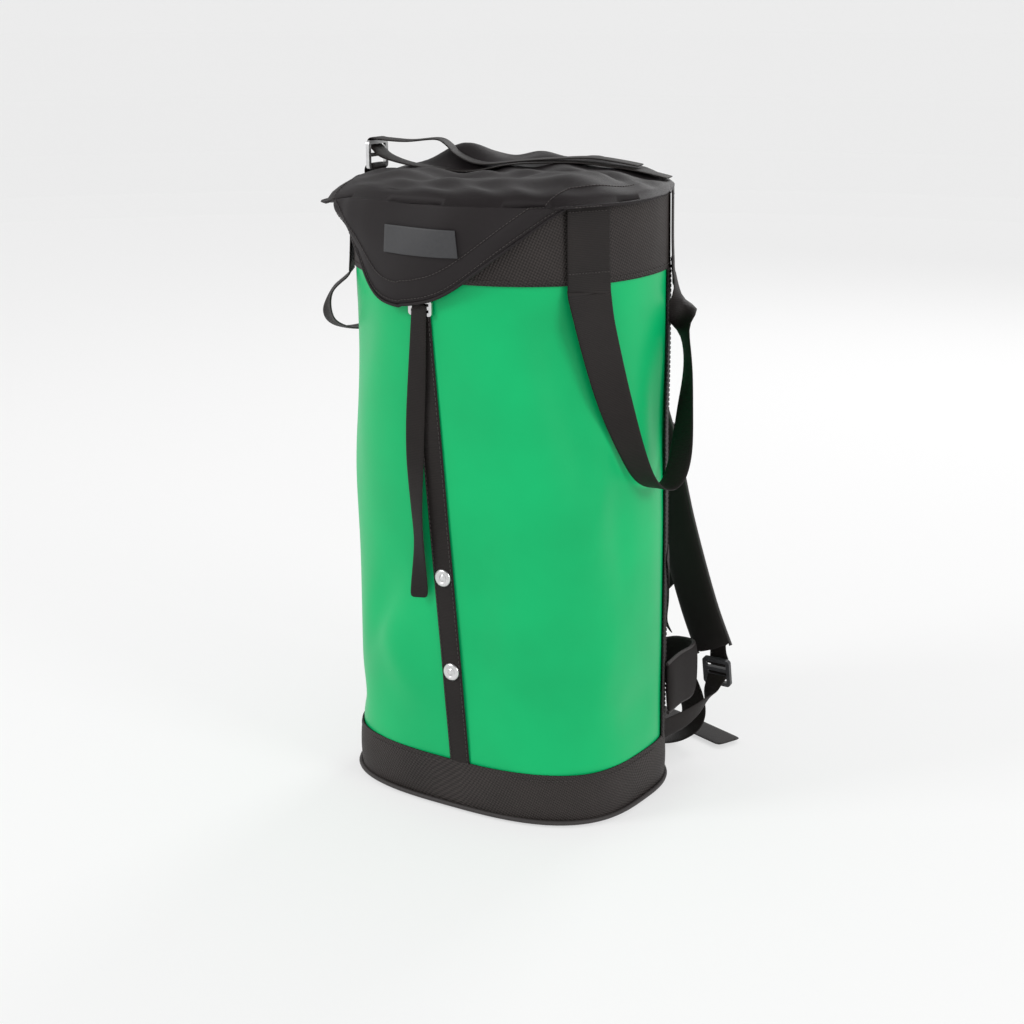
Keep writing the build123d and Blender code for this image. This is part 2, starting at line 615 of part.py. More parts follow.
def sternum():
    narrow = 20.0
    right = [
        ((102, 207.5, 214), (0, 0.1, 1), narrow), ((84, 212, 184), (0.4, 0, 0.9), narrow),
        ((53, 212, 154), (0.5, 0, 0.85), narrow),
    ]
    left = [
        ((8, 211, 141), (0.3, 0, 0.95), narrow), ((-16, 205, 150), (0.2, 0, 1), narrow),
        ((-52, 202, 160), (0.2, 0, 1), narrow),
    ]
    save("sternum_webbing", ribbon(right, 1.5), ribbon(left, 1.5))
    front = (0, 1, 0)
    shell = extrude(RectangleRounded(24, 27, 4), 4.5, both=True)
    shell -= Location((-4, 0, 0)) * Box(18, 19, 5.2)
    save("sternum_socket", turned(shell, STERNUM_AT, STERNUM_TILT, front))
    prongs = Location((-21, 0, 0)) * extrude(RectangleRounded(12, 25, 3), 3, both=True)
    prongs -= Location((-22, 0, 0)) * Box(4, 19, 12)
    prongs += Location((-9, 0, 0)) * Box(14, 12, 3.6)
    save("sternum_plug", turned(prongs, STERNUM_AT, STERNUM_TILT, front))


TAIL_ROUTE = [
    ((-26, 184, 505), (1, 0.1, 0), 25), ((-27, 202, 430), (1, 0.15, 0), 25),
    ((-27, 211, 340), (1, 0.1, 0), 25), ((-26, 213, 250), (1, 0, 0), 25),
    ((-24, 214, 165), (1, -0.1, 0), 25), ((-20, 216, 110), (1, -0.2, 0), 30),
    ((-18, 218, 70), (1, -0.3, 0), 36), ((-24, 216, 34), (0.9, -0.4, 0), 36),
    ((-42, 212, 13), (0.5, -0.5, 0.7), 30), ((-72, 208, 14), (0.1, 0, 1), 25),
    ((-100, 204, 26), (0, 0.1, 1), 25),
]
FLOOR_ROUTE = [
    ((-134, 206, 34), (0, 0.5, 0.85), 25), ((-146, 208, 20), (0, 0.6, 0.8), 25),
    ((-144, 220, 10), (0.3, 0.9, 0.5), 25), ((-122, 232, 5), (0.1, 1, 0.2), 25),
    ((-80, 238, 3), (0, 1, 0.05), 26), ((-30, 243, 3), (0, 1, 0), 34),
    ((20, 240, 3), (0.1, 1, 0), 36), ((80, 226, 3), (0.25, 1, 0), 36),
    ((130, 208, 3), (0.3, 1, 0), 36), ((176, 190, 3.5), (0.4, 1, 0), 36),
]
HIP_TAIL_ROUTE = [
    ((84, 186, 88), (0, 0.1, 1), 36), ((106, 196, 72), (0.4, 0.1, 0.9), 36),
    ((128, 190, 44), (0.85, -0.1, 0.5), 36), ((133, 180, 24), (0.99, -0.16, 0), 36),
    ((124, 166, 8), (0.64, -0.77, 0), 36), ((104, 156, 3.5), (0.34, -0.94, 0), 36),
    ((80, 150, 3), (0.12, -0.99, 0), 36), ((48, 150, 3), (0, -1, 0), 36),
    ((8, 152, 3), (-0.1, -1, 0), 36),
]
def free_tails():
    save("lifter_tail", ribbon(TAIL_ROUTE, TAIL_THICKNESS))
    save("floor_tail", ribbon(FLOOR_ROUTE, TAIL_THICKNESS))
    save("hip_tail", ribbon(HIP_TAIL_ROUTE, TAIL_THICKNESS))


bag_body()
mouth()
body_webbing()
haul_patches()
haul_loops()
lid()
lid_strap()
front_tail()
back_tabs()
slot_parts()
lumbar()
hip_belt()
hip_buckle()
lower_straps()
shoulder_straps()
triglides()
sternum()
free_tails()
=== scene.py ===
# %% [markdown]
# # A rope storage bag
# The bag is a coated fabric tube on a nylon boot, with a nylon collar, a floppy lid with a cinch strap, two haul
# loops and a padded harness.  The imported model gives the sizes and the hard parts; this script makes the cloth,
# the webbing and every finish around it.

# %% Load the frame
import json
import math

import bmesh
import bpy
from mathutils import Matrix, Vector


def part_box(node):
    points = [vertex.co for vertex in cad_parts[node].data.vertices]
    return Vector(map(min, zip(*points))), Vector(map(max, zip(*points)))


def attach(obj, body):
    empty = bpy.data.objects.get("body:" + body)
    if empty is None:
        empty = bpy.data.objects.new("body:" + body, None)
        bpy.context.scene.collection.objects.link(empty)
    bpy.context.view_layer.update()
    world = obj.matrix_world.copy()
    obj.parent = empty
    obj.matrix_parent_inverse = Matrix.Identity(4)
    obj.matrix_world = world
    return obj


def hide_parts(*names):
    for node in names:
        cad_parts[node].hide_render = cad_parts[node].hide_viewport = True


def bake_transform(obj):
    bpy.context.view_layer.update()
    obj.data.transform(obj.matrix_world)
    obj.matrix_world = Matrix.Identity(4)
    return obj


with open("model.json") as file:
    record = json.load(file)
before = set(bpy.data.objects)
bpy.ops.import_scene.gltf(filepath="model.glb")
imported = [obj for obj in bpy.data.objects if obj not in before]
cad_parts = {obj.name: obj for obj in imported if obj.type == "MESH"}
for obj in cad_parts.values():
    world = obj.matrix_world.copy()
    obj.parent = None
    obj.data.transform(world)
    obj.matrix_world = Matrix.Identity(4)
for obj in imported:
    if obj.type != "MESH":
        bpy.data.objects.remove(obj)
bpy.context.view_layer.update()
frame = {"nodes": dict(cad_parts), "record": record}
print("nodes in the frame:", len(frame["nodes"]))

# %% [markdown]
# ## Driving sizes
# Everything sewn to the tube is placed from a few heights and half widths, which come from the boxes of the
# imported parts, in metres.

# %% Sizes from the frame
MM = 0.001
RIM_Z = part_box("collar")[1][2]
COLLAR_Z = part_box("collar")[0][2]
BOOT_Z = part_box("base_boot")[1][2]
NYLON = 1.7 * MM
MID_SHARE = 0.46
LOW = (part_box("base_boot")[1][0] - NYLON, 0.121, 2.9)
MIDDLE = (0.162, 0.137, 2.5)
HIGH = (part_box("collar")[1][0] - NYLON - 0.0005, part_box("collar")[1][1] - NYLON, 2.1)


def girth(z):
    """Half width, half depth and squareness of the tube at height z."""
    mid = RIM_Z * MID_SHARE
    if z <= mid:
        share, start, end = max(z, 0.0) / mid, LOW, MIDDLE
    else:
        share, start, end = min((z - mid) / (RIM_Z - mid), 1.0), MIDDLE, HIGH
    return [a + (b - a) * share for a, b in zip(start, end)]


def on_skin(angle, z, off=0.0):
    """Point on the tube: 0 is the front, 90 the right side and 180 the back."""
    a, b, n = girth(z)
    s, c = math.sin(math.radians(angle)), math.cos(math.radians(angle))
    x = (a + off) * math.copysign(abs(s) ** (2 / n), s)
    y = -(b + off) * math.copysign(abs(c) ** (2 / n), c)
    return Vector((x, y, z))


def around(angle, z):
    return (on_skin(angle + 0.5, z) - on_skin(angle - 0.5, z)).normalized()


def angle_at(x, z):
    """Angle on the back of the tube whose point lies at the given x."""
    a, _, n = girth(z)
    return 180 - math.degrees(math.asin((abs(x) / a) ** (n / 2))) * math.copysign(1, x)


# %% [markdown]
# ## Camera
# The bag is seen from its front right and a little above, with a long lens, so it stands centred in the picture.

# %% Camera
VIEW_ANGLE = math.radians(33)
PITCH = math.radians(16.03)
DISTANCE = 1.978
HEIGHT = 0.8655
camera_data = bpy.data.cameras.new("camera")
camera_data.lens = 67.2
camera_data.sensor_width = 36
camera = bpy.data.objects.new("camera", camera_data)
camera.location = (DISTANCE * math.sin(VIEW_ANGLE), -DISTANCE * math.cos(VIEW_ANGLE), HEIGHT)
camera.rotation_euler = (math.pi / 2 - PITCH, 0, VIEW_ANGLE)
bpy.context.scene.collection.objects.link(camera)
bpy.context.scene.camera = camera
bpy.context.scene.view_settings.view_transform = "Standard"


# %% [markdown]
# ## Shader maths
# A pattern such as a weave is easier to read as a formula than as a web of nodes.  `Socket` wraps one node output
# and adds a Math node for each operator used on it.

# %% A small class for shader formulas
class Socket:
    def __init__(self, tree, out):
        self.tree = tree
        self.out = out

    def node(self, kind, values, **settings):
        """Add a node, set its settings, then link or set its sockets; gives its first output."""
        made = self.tree.nodes.new(kind)
        for key, value in settings.items():
            setattr(made, key, value)
        for key, value in values.items():
            if isinstance(value, Socket):
                self.tree.links.new(value.out, made.inputs[key])
            else:
                made.inputs[key].default_value = value
        return Socket(self.tree, made.outputs[0])

    def math(self, operation, *others):
        values = dict(enumerate((self,) + others))
        return self.node("ShaderNodeMath", values, operation=operation)

    def __add__(self, other):
        return self.math("ADD", other)

    __radd__ = __add__

    def __mul__(self, other):
        return self.math("MULTIPLY", other)

    __rmul__ = __mul__

    def __sub__(self, other):
        return self.math("SUBTRACT", other)

    def __rsub__(self, other):
        return self * -1.0 + other


def new_material(name):
    """Material with its Principled shader and its node tree."""
    material = bpy.data.materials.new(name)
    material.use_nodes = True
    tree = material.node_tree
    return material, tree, tree.nodes["Principled BSDF"]


def linear(*rgb):
    """Linear colour of an 8-bit display colour."""
    return tuple(((c / 255 + 0.055) / 1.055) ** 2.4 if c > 10 else c / 255 / 12.92 for c in rgb) + (1.0,)


def place(tree, source):
    """Separated coordinates of a kind: Object, or UV in metres."""
    coordinates = tree.nodes.new("ShaderNodeTexCoord")
    split = tree.nodes.new("ShaderNodeSeparateXYZ")
    tree.links.new(coordinates.outputs[source], split.inputs[0])
    vector = Socket(tree, coordinates.outputs[source])
    return vector, [Socket(tree, split.outputs[i]) for i in range(3)]


def finish_shader(tree, shader, dark, light, mix, bump, height, roughness, rough_mix=0.0):
    """Colour between dark and light by mix, relief from height, and roughness that follows mix."""
    start = Socket(tree, None)
    colour = start.node("ShaderNodeMix", {0: mix, 6: dark, 7: light}, data_type="RGBA")
    colour.out = colour.out.node.outputs[2]
    tree.links.new(colour.out, shader.inputs["Base Color"])
    relief = start.node("ShaderNodeBump", {"Strength": bump[0], "Distance": bump[1], "Height": height})
    tree.links.new(relief.out, shader.inputs["Normal"])
    rough = mix * rough_mix + roughness
    tree.links.new(rough.out, shader.inputs["Roughness"])


def noise(vector, scale, detail=3.0):
    return vector.node("ShaderNodeTexNoise", {"Vector": vector, "Scale": scale, "Detail": detail})


def coated_fabric(name, dark, light):
    material, tree, shader = new_material(name)
    vector, _ = place(tree, "Object")
    cloud = noise(vector, 9.0)
    grain = noise(vector, 900.0, 2.0)
    finish_shader(tree, shader, dark, light, cloud, (0.16, 0.0004), grain + cloud * 2.0, 0.33, 0.12)
    shader.inputs["Specular IOR Level"].default_value = 0.2
    shader.inputs["Coat Weight"].default_value = 0.05
    shader.inputs["Coat Roughness"].default_value = 0.35
    return material


def woven(name, dark, light, pitch, rough, depth=0.35, skew=0.0):
    """Crossing threads of the given pitch, on the piece's own UV map in metres."""
    material, tree, shader = new_material(name)
    vector, (u, v, _) = place(tree, "UV")
    turn = 2 * math.pi / pitch
    warp = ((u + v * skew) * turn).math("SINE")
    weft = ((v - u * skew) * turn).math("SINE")
    over = (warp * weft) * 0.5 + 0.5
    object_vector, _ = place(tree, "Object")
    fade = noise(object_vector, 14.0)
    fuzz = noise(object_vector, 700.0, 2.0)
    finish_shader(tree, shader, dark, light, over * 0.55 + fade * 0.45, (depth, 0.0006), over + fuzz * 0.35, rough)
    shader.inputs["Specular IOR Level"].default_value = 0.22
    return material


def ribbed(name, dark, light, pitch, rough):
    """Flat woven webbing: ribs across its length and fine threads along it."""
    material, tree, shader = new_material(name)
    vector, (u, v, _) = place(tree, "UV")
    ribs = (v * (2 * math.pi / pitch)).math("SINE") * 0.5 + 0.5
    threads = (u * (2 * math.pi / 0.0011)).math("SINE") * 0.5 + 0.5
    object_vector, _ = place(tree, "Object")
    fade = noise(object_vector, 20.0)
    height = ribs * 0.8 + threads * 0.25
    finish_shader(tree, shader, dark, light, ribs * 0.35 + fade * 0.5, (0.4, 0.0005), height, rough)
    shader.inputs["Specular IOR Level"].default_value = 0.22
    return material


def plain(name, dark, light, rough, scale=60.0, bump=0.05, metal=0.0):
    material, tree, shader = new_material(name)
    vector, _ = place(tree, "Object")
    cloud = noise(vector, scale)
    finish_shader(tree, shader, dark, light, cloud, (bump, 0.0004), cloud, rough, 0.15)
    shader.inputs["Metallic"].default_value = metal
    return material


# %% [markdown]
# ## Finishes
# The green is a smooth PVC-type coating, so it has a soft gloss and hardly any grain.  The blacks differ: an open
# basket weave on collar and boot, a fine plain weave on the lid, ribs on the webbing, and dull moulded plastic.

# %% Finishes
GREEN = coated_fabric("coated_green", linear(0, 160, 92), linear(0, 188, 110))
BLUE = coated_fabric("coated_blue", linear(22, 92, 178), linear(40, 120, 205))
BASKET = woven("ballistic_basket", linear(8, 7, 7), linear(66, 60, 58), 0.0042, 0.6, 1.0, 0.35)
LID_CLOTH = woven("lid_cloth", linear(20, 17, 18), linear(40, 35, 36), 0.0012, 0.6, 0.25)
WEBBING = ribbed("webbing", linear(12, 10, 10), linear(42, 36, 34), 0.0017, 0.6)
PADDING = woven("pad_cloth", linear(16, 13, 13), linear(38, 33, 32), 0.0016, 0.72, 0.4)
PIPING = plain("piping", linear(34, 31, 31), linear(56, 51, 50), 0.55, 300.0)
RUBBER = plain("badge_rubber", linear(44, 44, 46), linear(58, 58, 60), 0.5, 240.0, 0.08)
PLASTIC = plain("buckle_plastic", linear(40, 40, 42), linear(58, 58, 60), 0.36, 180.0, 0.06)
METAL = plain("bright_metal", linear(196, 196, 196), linear(232, 232, 232), 0.22, 120.0, 0.03, 1.0)
THREAD = plain("thread_black", linear(38, 34, 34), linear(70, 64, 62), 0.6, 500.0)
PALE_THREAD = plain("thread_pale", linear(120, 116, 116), linear(165, 160, 160), 0.6, 500.0)
LINING = woven("lining", linear(30, 30, 32), linear(60, 60, 64), 0.002, 0.8)


# %% [markdown]
# ## Making pieces
# `band` grows webbing by extruding a short edge from station to station.  `tube` does the same with a ring, for
# everything that goes round the bag.  UV maps are in metres, so every weave keeps its scale.

# %% Helpers for meshes
def catmull(points, per_span):
    """Smooth points through the given vectors."""
    result = []
    last = len(points) - 1
    for i in range(last):
        a, b = points[max(i - 1, 0)], points[i]
        c, d = points[i + 1], points[min(i + 2, last)]
        for step in range(per_span):
            t = step / per_span
            result.append(
                0.5 * (2 * b + (c - a) * t + (2 * a - 5 * b + 4 * c - d) * t * t + (3 * b - a - 3 * c + d) * t ** 3)
            )
    result.append(points[-1].copy())
    return result


def finish_piece(bm, name, material, body, smooth=True):
    """Turn a bmesh into an object that rides on a body."""
    mesh = bpy.data.meshes.new(name)
    bm.to_mesh(mesh)
    bm.free()
    if smooth:
        mesh.polygons.foreach_set("use_smooth", [True] * len(mesh.polygons))
    piece = bpy.data.objects.new(name, mesh)
    bpy.context.scene.collection.objects.link(piece)
    mesh.materials.append(material)
    if body:
        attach(piece, body)
    return piece


def write_uv(bm, along, across):
    """UV in metres from two vertex layers."""
    uv = bm.loops.layers.uv.new("UVMap")
    for face in bm.faces:
        for loop in face.loops:
            loop[uv].uv = (loop.vert[across], loop.vert[along])


def add_thickness(piece, thickness, offset=0.0, levels=1):
    wall = piece.modifiers.new("wall", "SOLIDIFY")
    wall.thickness = thickness
    wall.offset = offset
    wall.use_even_offset = False
    if levels:
        soft = piece.modifiers.new("soft", "SUBSURF")
        soft.levels = soft.render_levels = levels
    return piece


def nurbs_line(points, per_span):
    """Points read from a NURBS spline whose control points are given."""
    curve = bpy.data.curves.new("line", "CURVE")
    curve.dimensions = "3D"
    curve.resolution_u = per_span
    spline = curve.splines.new("NURBS")
    spline.points.add(len(points) - 1)
    for point, co in zip(spline.points, points):
        point.co = (*co, 1.0)
    spline.order_u = 3
    spline.use_endpoint_u = True
    holder = bpy.data.objects.new("line", curve)
    mesh = bpy.data.meshes.new_from_object(holder)
    line = [v.co.copy() for v in mesh.vertices]
    bpy.data.objects.remove(holder)
    bpy.data.meshes.remove(mesh)
    bpy.data.curves.remove(curve)
    return line


def stations_of(route, per_span, smooth=catmull):
    """Smooth positions, width directions and widths along a route of (point mm, across, width mm)."""
    points = smooth([Vector(p) * MM for p, _, _ in route], per_span)
    sides = smooth([Vector(a).normalized() for _, a, _ in route], per_span)
    widths = smooth([Vector((w * MM, 0, 0)) for _, _, w in route], per_span)
    result = []
    for i, p in enumerate(points):
        ahead = (points[min(i + 1, len(points) - 1)] - points[max(i - 1, 0)]).normalized()
        side = (sides[i] - ahead * sides[i].dot(ahead)).normalized()
        result.append((p, side, widths[i].x, side.cross(ahead).normalized()))
    return result


def extrude_row(bm, edges, old_row):
    """Extrude a chain of edges and give the new vertices in the old order."""
    made = bmesh.ops.extrude_edge_only(bm, edges=edges)["geom"]
    verts = [g for g in made if isinstance(g, bmesh.types.BMVert)]
    row = []
    for old in old_row:
        match = next(e.other_vert(old) for e in old.link_edges if e.other_vert(old) in verts)
        row.append(match)
    count = len(row)
    pairs = [(row[i], row[i + 1]) for i in range(count - 1)]
    if len(edges) == count:
        pairs.append((row[-1], row[0]))
    new_edges = [next(e for e in a.link_edges if e.other_vert(a) == b) for a, b in pairs]
    return row, new_edges


def band(name, route, material=None, body="bag", thickness=1.8, per_span=6, columns=3,
         bow=0.0, wave=None, levels=1, smooth=catmull):
    """Webbing along a route; bow lifts its middle and wave is an extra lift along it, both in mm."""
    rows = stations_of(route, per_span, smooth)
    bm = bmesh.new()
    along = bm.verts.layers.float.new("along")
    across = bm.verts.layers.float.new("across")
    run = 0.0
    row, edges = [], []
    for i, (p, side, width, up) in enumerate(rows):
        if i:
            run += (p - rows[i - 1][0]).length
            row, edges = extrude_row(bm, edges, row)
        else:
            row = [bm.verts.new((0, 0, c * MM)) for c in range(columns + 1)]
            edges = [bm.edges.new((row[c], row[c + 1])) for c in range(columns)]
        lift = wave(run, i / (len(rows) - 1)) * MM if wave else 0.0
        for c, vert in enumerate(row):
            share = c / columns - 0.5
            vert.co = p + side * (share * width) + up * (bow * MM * (1 - 4 * share * share) + lift)
            vert[along] = run
            vert[across] = share * width
    write_uv(bm, along, across)
    piece = finish_piece(bm, name, material or WEBBING, body)
    add_thickness(piece, thickness * MM, 0.0, levels)
    piece["run"] = run
    return piece


def tube(name, levels, off, material, body, shape=None, segments=144, thickness=1.2, skip=None, subdivide=0):
    """Wall round the bag through levels of height; shape gives an extra outward offset."""
    bm = bmesh.new()
    along = bm.verts.layers.float.new("along")
    across = bm.verts.layers.float.new("across")
    bmesh.ops.create_circle(bm, segments=segments, radius=1.0)
    bm.verts.ensure_lookup_table()
    row = sorted(bm.verts, key=lambda v: math.atan2(v.co.x, -v.co.y))
    angles = [math.degrees(math.atan2(v.co.x, -v.co.y)) for v in row]
    edges = [next(e for e in a.link_edges if e.other_vert(a) == b) for a, b in zip(row, row[1:] + row[:1])]
    for i, z in enumerate(levels):
        if i:
            row, edges = extrude_row(bm, edges, row)
        level_off = off[i] if isinstance(off, list) else off
        for angle, vert in zip(angles, row):
            extra = shape(angle, z) if shape else 0.0
            vert.co = on_skin(angle, z, (level_off + extra) * MM)
            vert[along] = z
            vert[across] = math.radians(angle) * 0.155
    if skip:
        gone = [f for f in bm.faces if skip(f.calc_center_median())]
        bmesh.ops.delete(bm, geom=gone, context="FACES")
    bmesh.ops.recalc_face_normals(bm, faces=bm.faces[:])
    write_uv(bm, along, across)
    piece = finish_piece(bm, name, material, body)
    return add_thickness(piece, thickness * MM, -1.0, subdivide)


def steps(low, high, count):
    return [low + (high - low) * i / count for i in range(count + 1)]


def hump(angle, z, centre_angle, centre_z, reach_angle, reach_z, lean=0.0):
    """Smooth bump on the skin, 1 at its centre; lean slants it."""
    turn = (angle - centre_angle + 180) % 360 - 180
    turn -= lean * (z - centre_z) / MM
    return math.exp(-(turn / reach_angle) ** 2 - ((z - centre_z) / (reach_z * MM)) ** 2)


# %% [markdown]
# ## The tube
# A haul bag's fabric is stiff, so it doesn't wrinkle like cloth: it dents in long shallow planes.  Each dent is a
# slanted bump, worked into the ring of vertices at each height.

# %% The tube of coated fabric
DENTS = [
    (-40, 0.50, -5.0, 16, 60, 0.10), (22, 0.47, 4.0, 16, 80, -0.08), (50, 0.44, -5.5, 9, 95, -0.10),
    (62, 0.34, 4.0, 9, 80, 0.06), (78, 0.30, -5.0, 9, 70, -0.05), (-26, 0.21, -6.0, 9, 50, 0.20),
    (-14, 0.15, 4.0, 9, 40, -0.15), (12, 0.22, -3.5, 7, 120, 0.02), (38, 0.12, -3.0, 20, 45, 0.0),
    (36, 0.30, 3.0, 12, 80, 0.05), (52, 0.535, -3.5, 12, 30, 0.15), (100, 0.42, -5.0, 9, 60, -0.05),
    (-122, 0.44, -5.0, 9, 50, 0.08), (-132, 0.30, -1.0, 12, 60, -0.06), (-128, 0.20, 4.5, 10, 50, 0.0),
    (-158, 0.40, 4.5, 12, 70, 0.10), (-146, 0.26, 3.5, 9, 60, -0.15), (176, 0.30, 3.0, 9, 70, 0.0),
    (-82, 0.30, -5.0, 10, 60, 0.10), (-62, 0.36, 3.5, 10, 70, -0.10), (-60, 0.09, -4.0, 12, 24, 0.0),
    (88, 0.11, -4.0, 12, 30, 0.0), (-96, 0.16, 3.0, 10, 40, 0.0), (66, 0.16, 3.5, 10, 40, 0.1),
]


def dents(angle, z):
    total = sum(amount * hump(angle, z, at, height, wide, tall, lean)
                for at, height, amount, wide, tall, lean in DENTS)
    calm = min(1.0, (COLLAR_Z - z) / 0.04, (z - BOOT_Z) / 0.03)
    return total * max(calm, 0.0)


SLOT_Z = 0.488
SLOT_HALF = 0.124
SLOT_MID = -0.010


def in_slot(centre):
    sag = 1 - ((centre.x - SLOT_MID) / SLOT_HALF) ** 2
    return centre.y > 0 and sag > 0 and SLOT_Z - 0.011 * sag < centre.z < SLOT_Z + 0.012 * sag


body_levels = steps(0.004, 0.47, 60) + steps(0.473, 0.507, 11) + steps(0.512, RIM_Z - 0.001, 20)
bag = tube("bag_fabric", body_levels, 0.0, GREEN, "bag", dents, 192, skip=in_slot)
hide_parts("bag_tube")


# %% [markdown]
# ## Boot and collar
# Both are heavy basket-weave nylon sewn round the tube.  The boot swells a little above its welt, and the collar
# is doubled over at the mouth.

# %% Boot, welt and collar
def boot_shape(angle, z):
    return 1.6 * math.sin(math.pi * min(z / BOOT_Z, 1)) + 0.7 * math.sin(math.radians(angle * 7 + z * 900))


boot = tube("boot", steps(0.0018, BOOT_Z, 12) + [BOOT_Z + 0.0005], 2.0, BASKET, "bag", boot_shape, 144)
boot.modifiers["wall"].thickness = NYLON


def boot_floor():
    """The boot's flat floor: rings scaled in from the wall's foot."""
    bm = bmesh.new()
    along = bm.verts.layers.float.new("along")
    across = bm.verts.layers.float.new("across")
    bmesh.ops.create_circle(bm, segments=72, radius=1.0, cap_ends=True)
    for vert in bm.verts:
        angle = math.degrees(math.atan2(vert.co.x, -vert.co.y))
        vert.co = on_skin(angle, 0.0, 1.0 * MM)
    bmesh.ops.inset_region(bm, faces=bm.faces[:], thickness=0.03)
    bmesh.ops.triangulate(bm, faces=[f for f in bm.faces if len(f.verts) > 4])
    for vert in bm.verts:
        vert[along], vert[across] = vert.co.y, vert.co.x
    write_uv(bm, along, across)
    bmesh.ops.recalc_face_normals(bm, faces=bm.faces[:])
    piece = finish_piece(bm, "boot_floor", BASKET, "bag", False)
    return add_thickness(piece, 1.6 * MM, 1.0, 0)


floor_piece = boot_floor()
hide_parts("base_boot")


def cord_curve(name, points, radius, material, body, closed=False):
    """Round piping or cord along points."""
    curve = bpy.data.curves.new(name, "CURVE")
    curve.dimensions = "3D"
    curve.bevel_depth = radius
    curve.bevel_resolution = 3
    curve.use_fill_caps = True
    spline = curve.splines.new("POLY")
    spline.points.add(len(points) - 1)
    for point, co in zip(spline.points, points):
        point.co = (*co, 1.0)
    spline.use_cyclic_u = closed
    piece = bpy.data.objects.new(name, curve)
    bpy.context.scene.collection.objects.link(piece)
    curve.materials.append(material)
    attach(piece, body)
    return piece


welt_line = [on_skin(360 * i / 120, 0.0045, 4.0 * MM) for i in range(120)]
welt = cord_curve("boot_welt", welt_line, 2.6 * MM, PIPING, "bag", True)
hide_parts("boot_binding")


def collar_shape(angle, z):
    ripple = 0.5 * math.sin(math.radians(angle * 5)) * (z - COLLAR_Z) / (RIM_Z - COLLAR_Z)
    return ripple


collar_levels = steps(COLLAR_Z, RIM_Z - 0.002, 14) + [RIM_Z - 0.0006, RIM_Z, RIM_Z - 0.0006, RIM_Z - 0.004, RIM_Z - 0.03]
collar_offs = [2.0] * 15 + [1.6, 0.4, -1.2, -1.8, -1.9]
collar = tube("collar_band", collar_levels, collar_offs, BASKET, "bag", collar_shape, 144)
collar.modifiers["wall"].thickness = 0.0008
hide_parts("collar")

skirt_levels = steps(RIM_Z - 0.05, RIM_Z - 0.004, 10) + [RIM_Z + 0.001, RIM_Z + 0.004]
skirt = tube("skirt_cloth", skirt_levels, [-3.2] * 11 + [-3.0, -3.6], LID_CLOTH, "bag",
             lambda a, z: 0.8 * math.sin(math.radians(a * 17)), 144)
skirt.modifiers["wall"].thickness = 0.0006
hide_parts("skirt")


# %% [markdown]
# ## Stitching
# A seam is a row of short raised threads.  Each is a little six-sided bar, laid along a line of points.

# %% Stitch rows
def stitches(name, line, pitch, length, radius, material, body):
    """Row of stitches along a line of points, each a short bar."""
    bm = bmesh.new()
    travelled, due = 0.0, 0.0
    for a, b in zip(line, line[1:]):
        span = (b - a).length
        while due <= travelled + span and span > 0:
            spot = a.lerp(b, (due - travelled) / span)
            turn = (b - a).to_track_quat("Z", "Y")
            made = bmesh.ops.create_cone(bm, cap_ends=True, segments=5, radius1=radius, radius2=radius, depth=length)
            for vert in made["verts"]:
                vert.co = spot + turn @ vert.co
            due += pitch
        travelled += span
    return finish_piece(bm, name, material, body)


def ring_line(z, off, start=-180, end=180, count=220):
    return [on_skin(start + (end - start) * i / count, z, off * MM) for i in range(count + 1)]


stitches("boot_stitches", ring_line(BOOT_Z - 0.005, 2.6), 0.0045, 0.003, 0.0004, THREAD, "bag")
stitches("collar_stitches", ring_line(COLLAR_Z + 0.005, 2.6), 0.0045, 0.003, 0.0004, THREAD, "bag")
stitches("collar_rim_stitches", ring_line(RIM_Z - 0.008, 2.6), 0.0045, 0.003, 0.0004, THREAD, "bag")
seam = [on_skin(180 + 1.0 * math.sin(i * 0.07), COLLAR_Z + 0.002 + i * 0.002, 2.9 * MM) for i in range(39)]
stitches("collar_back_seam", seam, 0.0022, 0.002, 0.0007, PALE_THREAD, "bag")


# %% [markdown]
# ## Webbing on the tube
# Three strips run from boot to collar.  The front one is held by two cup-washer rivets, turned on a lathe here:
# a profile spun round its axis.

# %% Body webbing and rivets
def strip(name, angle, low, high, width, off, node, body="bag", shape=dents, per_span=5, material=None):
    """Webbing lying on the tube at an angle, following its dents."""
    route = []
    count = 14
    for i in range(count + 1):
        z = low + (high - low) * i / count
        at = angle(z) if callable(angle) else angle
        lift = off + (shape(at, z) if shape else 0.0)
        route.append((on_skin(at, z, lift * MM) / MM, around(at, z), width))
    piece = band(name, route, material, body, 1.6, per_span, 4, bow=0.4)
    if node:
        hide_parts(node)
    return piece


FRONT_FOOT_X, FRONT_SLANT = 15.8 * MM, 0.053


def front_angle(z):
    """Angle of the front webbing's centre, which leans to the left as it rises."""
    x = FRONT_FOOT_X - FRONT_SLANT * (z - BOOT_Z)
    a, _, n = girth(z)
    return math.degrees(math.asin((abs(x) / a) ** (n / 2))) * math.copysign(1, x)


strip("front_strip", front_angle, BOOT_Z - 0.004, COLLAR_Z + 0.004, 25, 1.5, "front_webbing")
strip("side_strip_left", -112, BOOT_Z - 0.004, COLLAR_Z + 0.004, 25, 1.5, "side_webbing_left")
strip("side_strip_right", 112, BOOT_Z - 0.004, COLLAR_Z + 0.004, 25, 1.5, "side_webbing_right")
for place_at, name in ((front_angle, "front"), (-112, "left"), (112, "right")):
    for edge, sign in (("a", -1), ("b", 1)):
        line = []
        for i in range(120):
            z = BOOT_Z + (COLLAR_Z - BOOT_Z) * i / 119
            angle = place_at(z) if callable(place_at) else place_at
            side = around(angle, z) * (sign * 10.2 * MM)
            line.append(on_skin(angle, z, (2.6 + dents(angle, z)) * MM) + side)
        stitches(f"strip_stitches_{name}_{edge}", line, 0.005, 0.0032, 0.0004, THREAD, "bag")


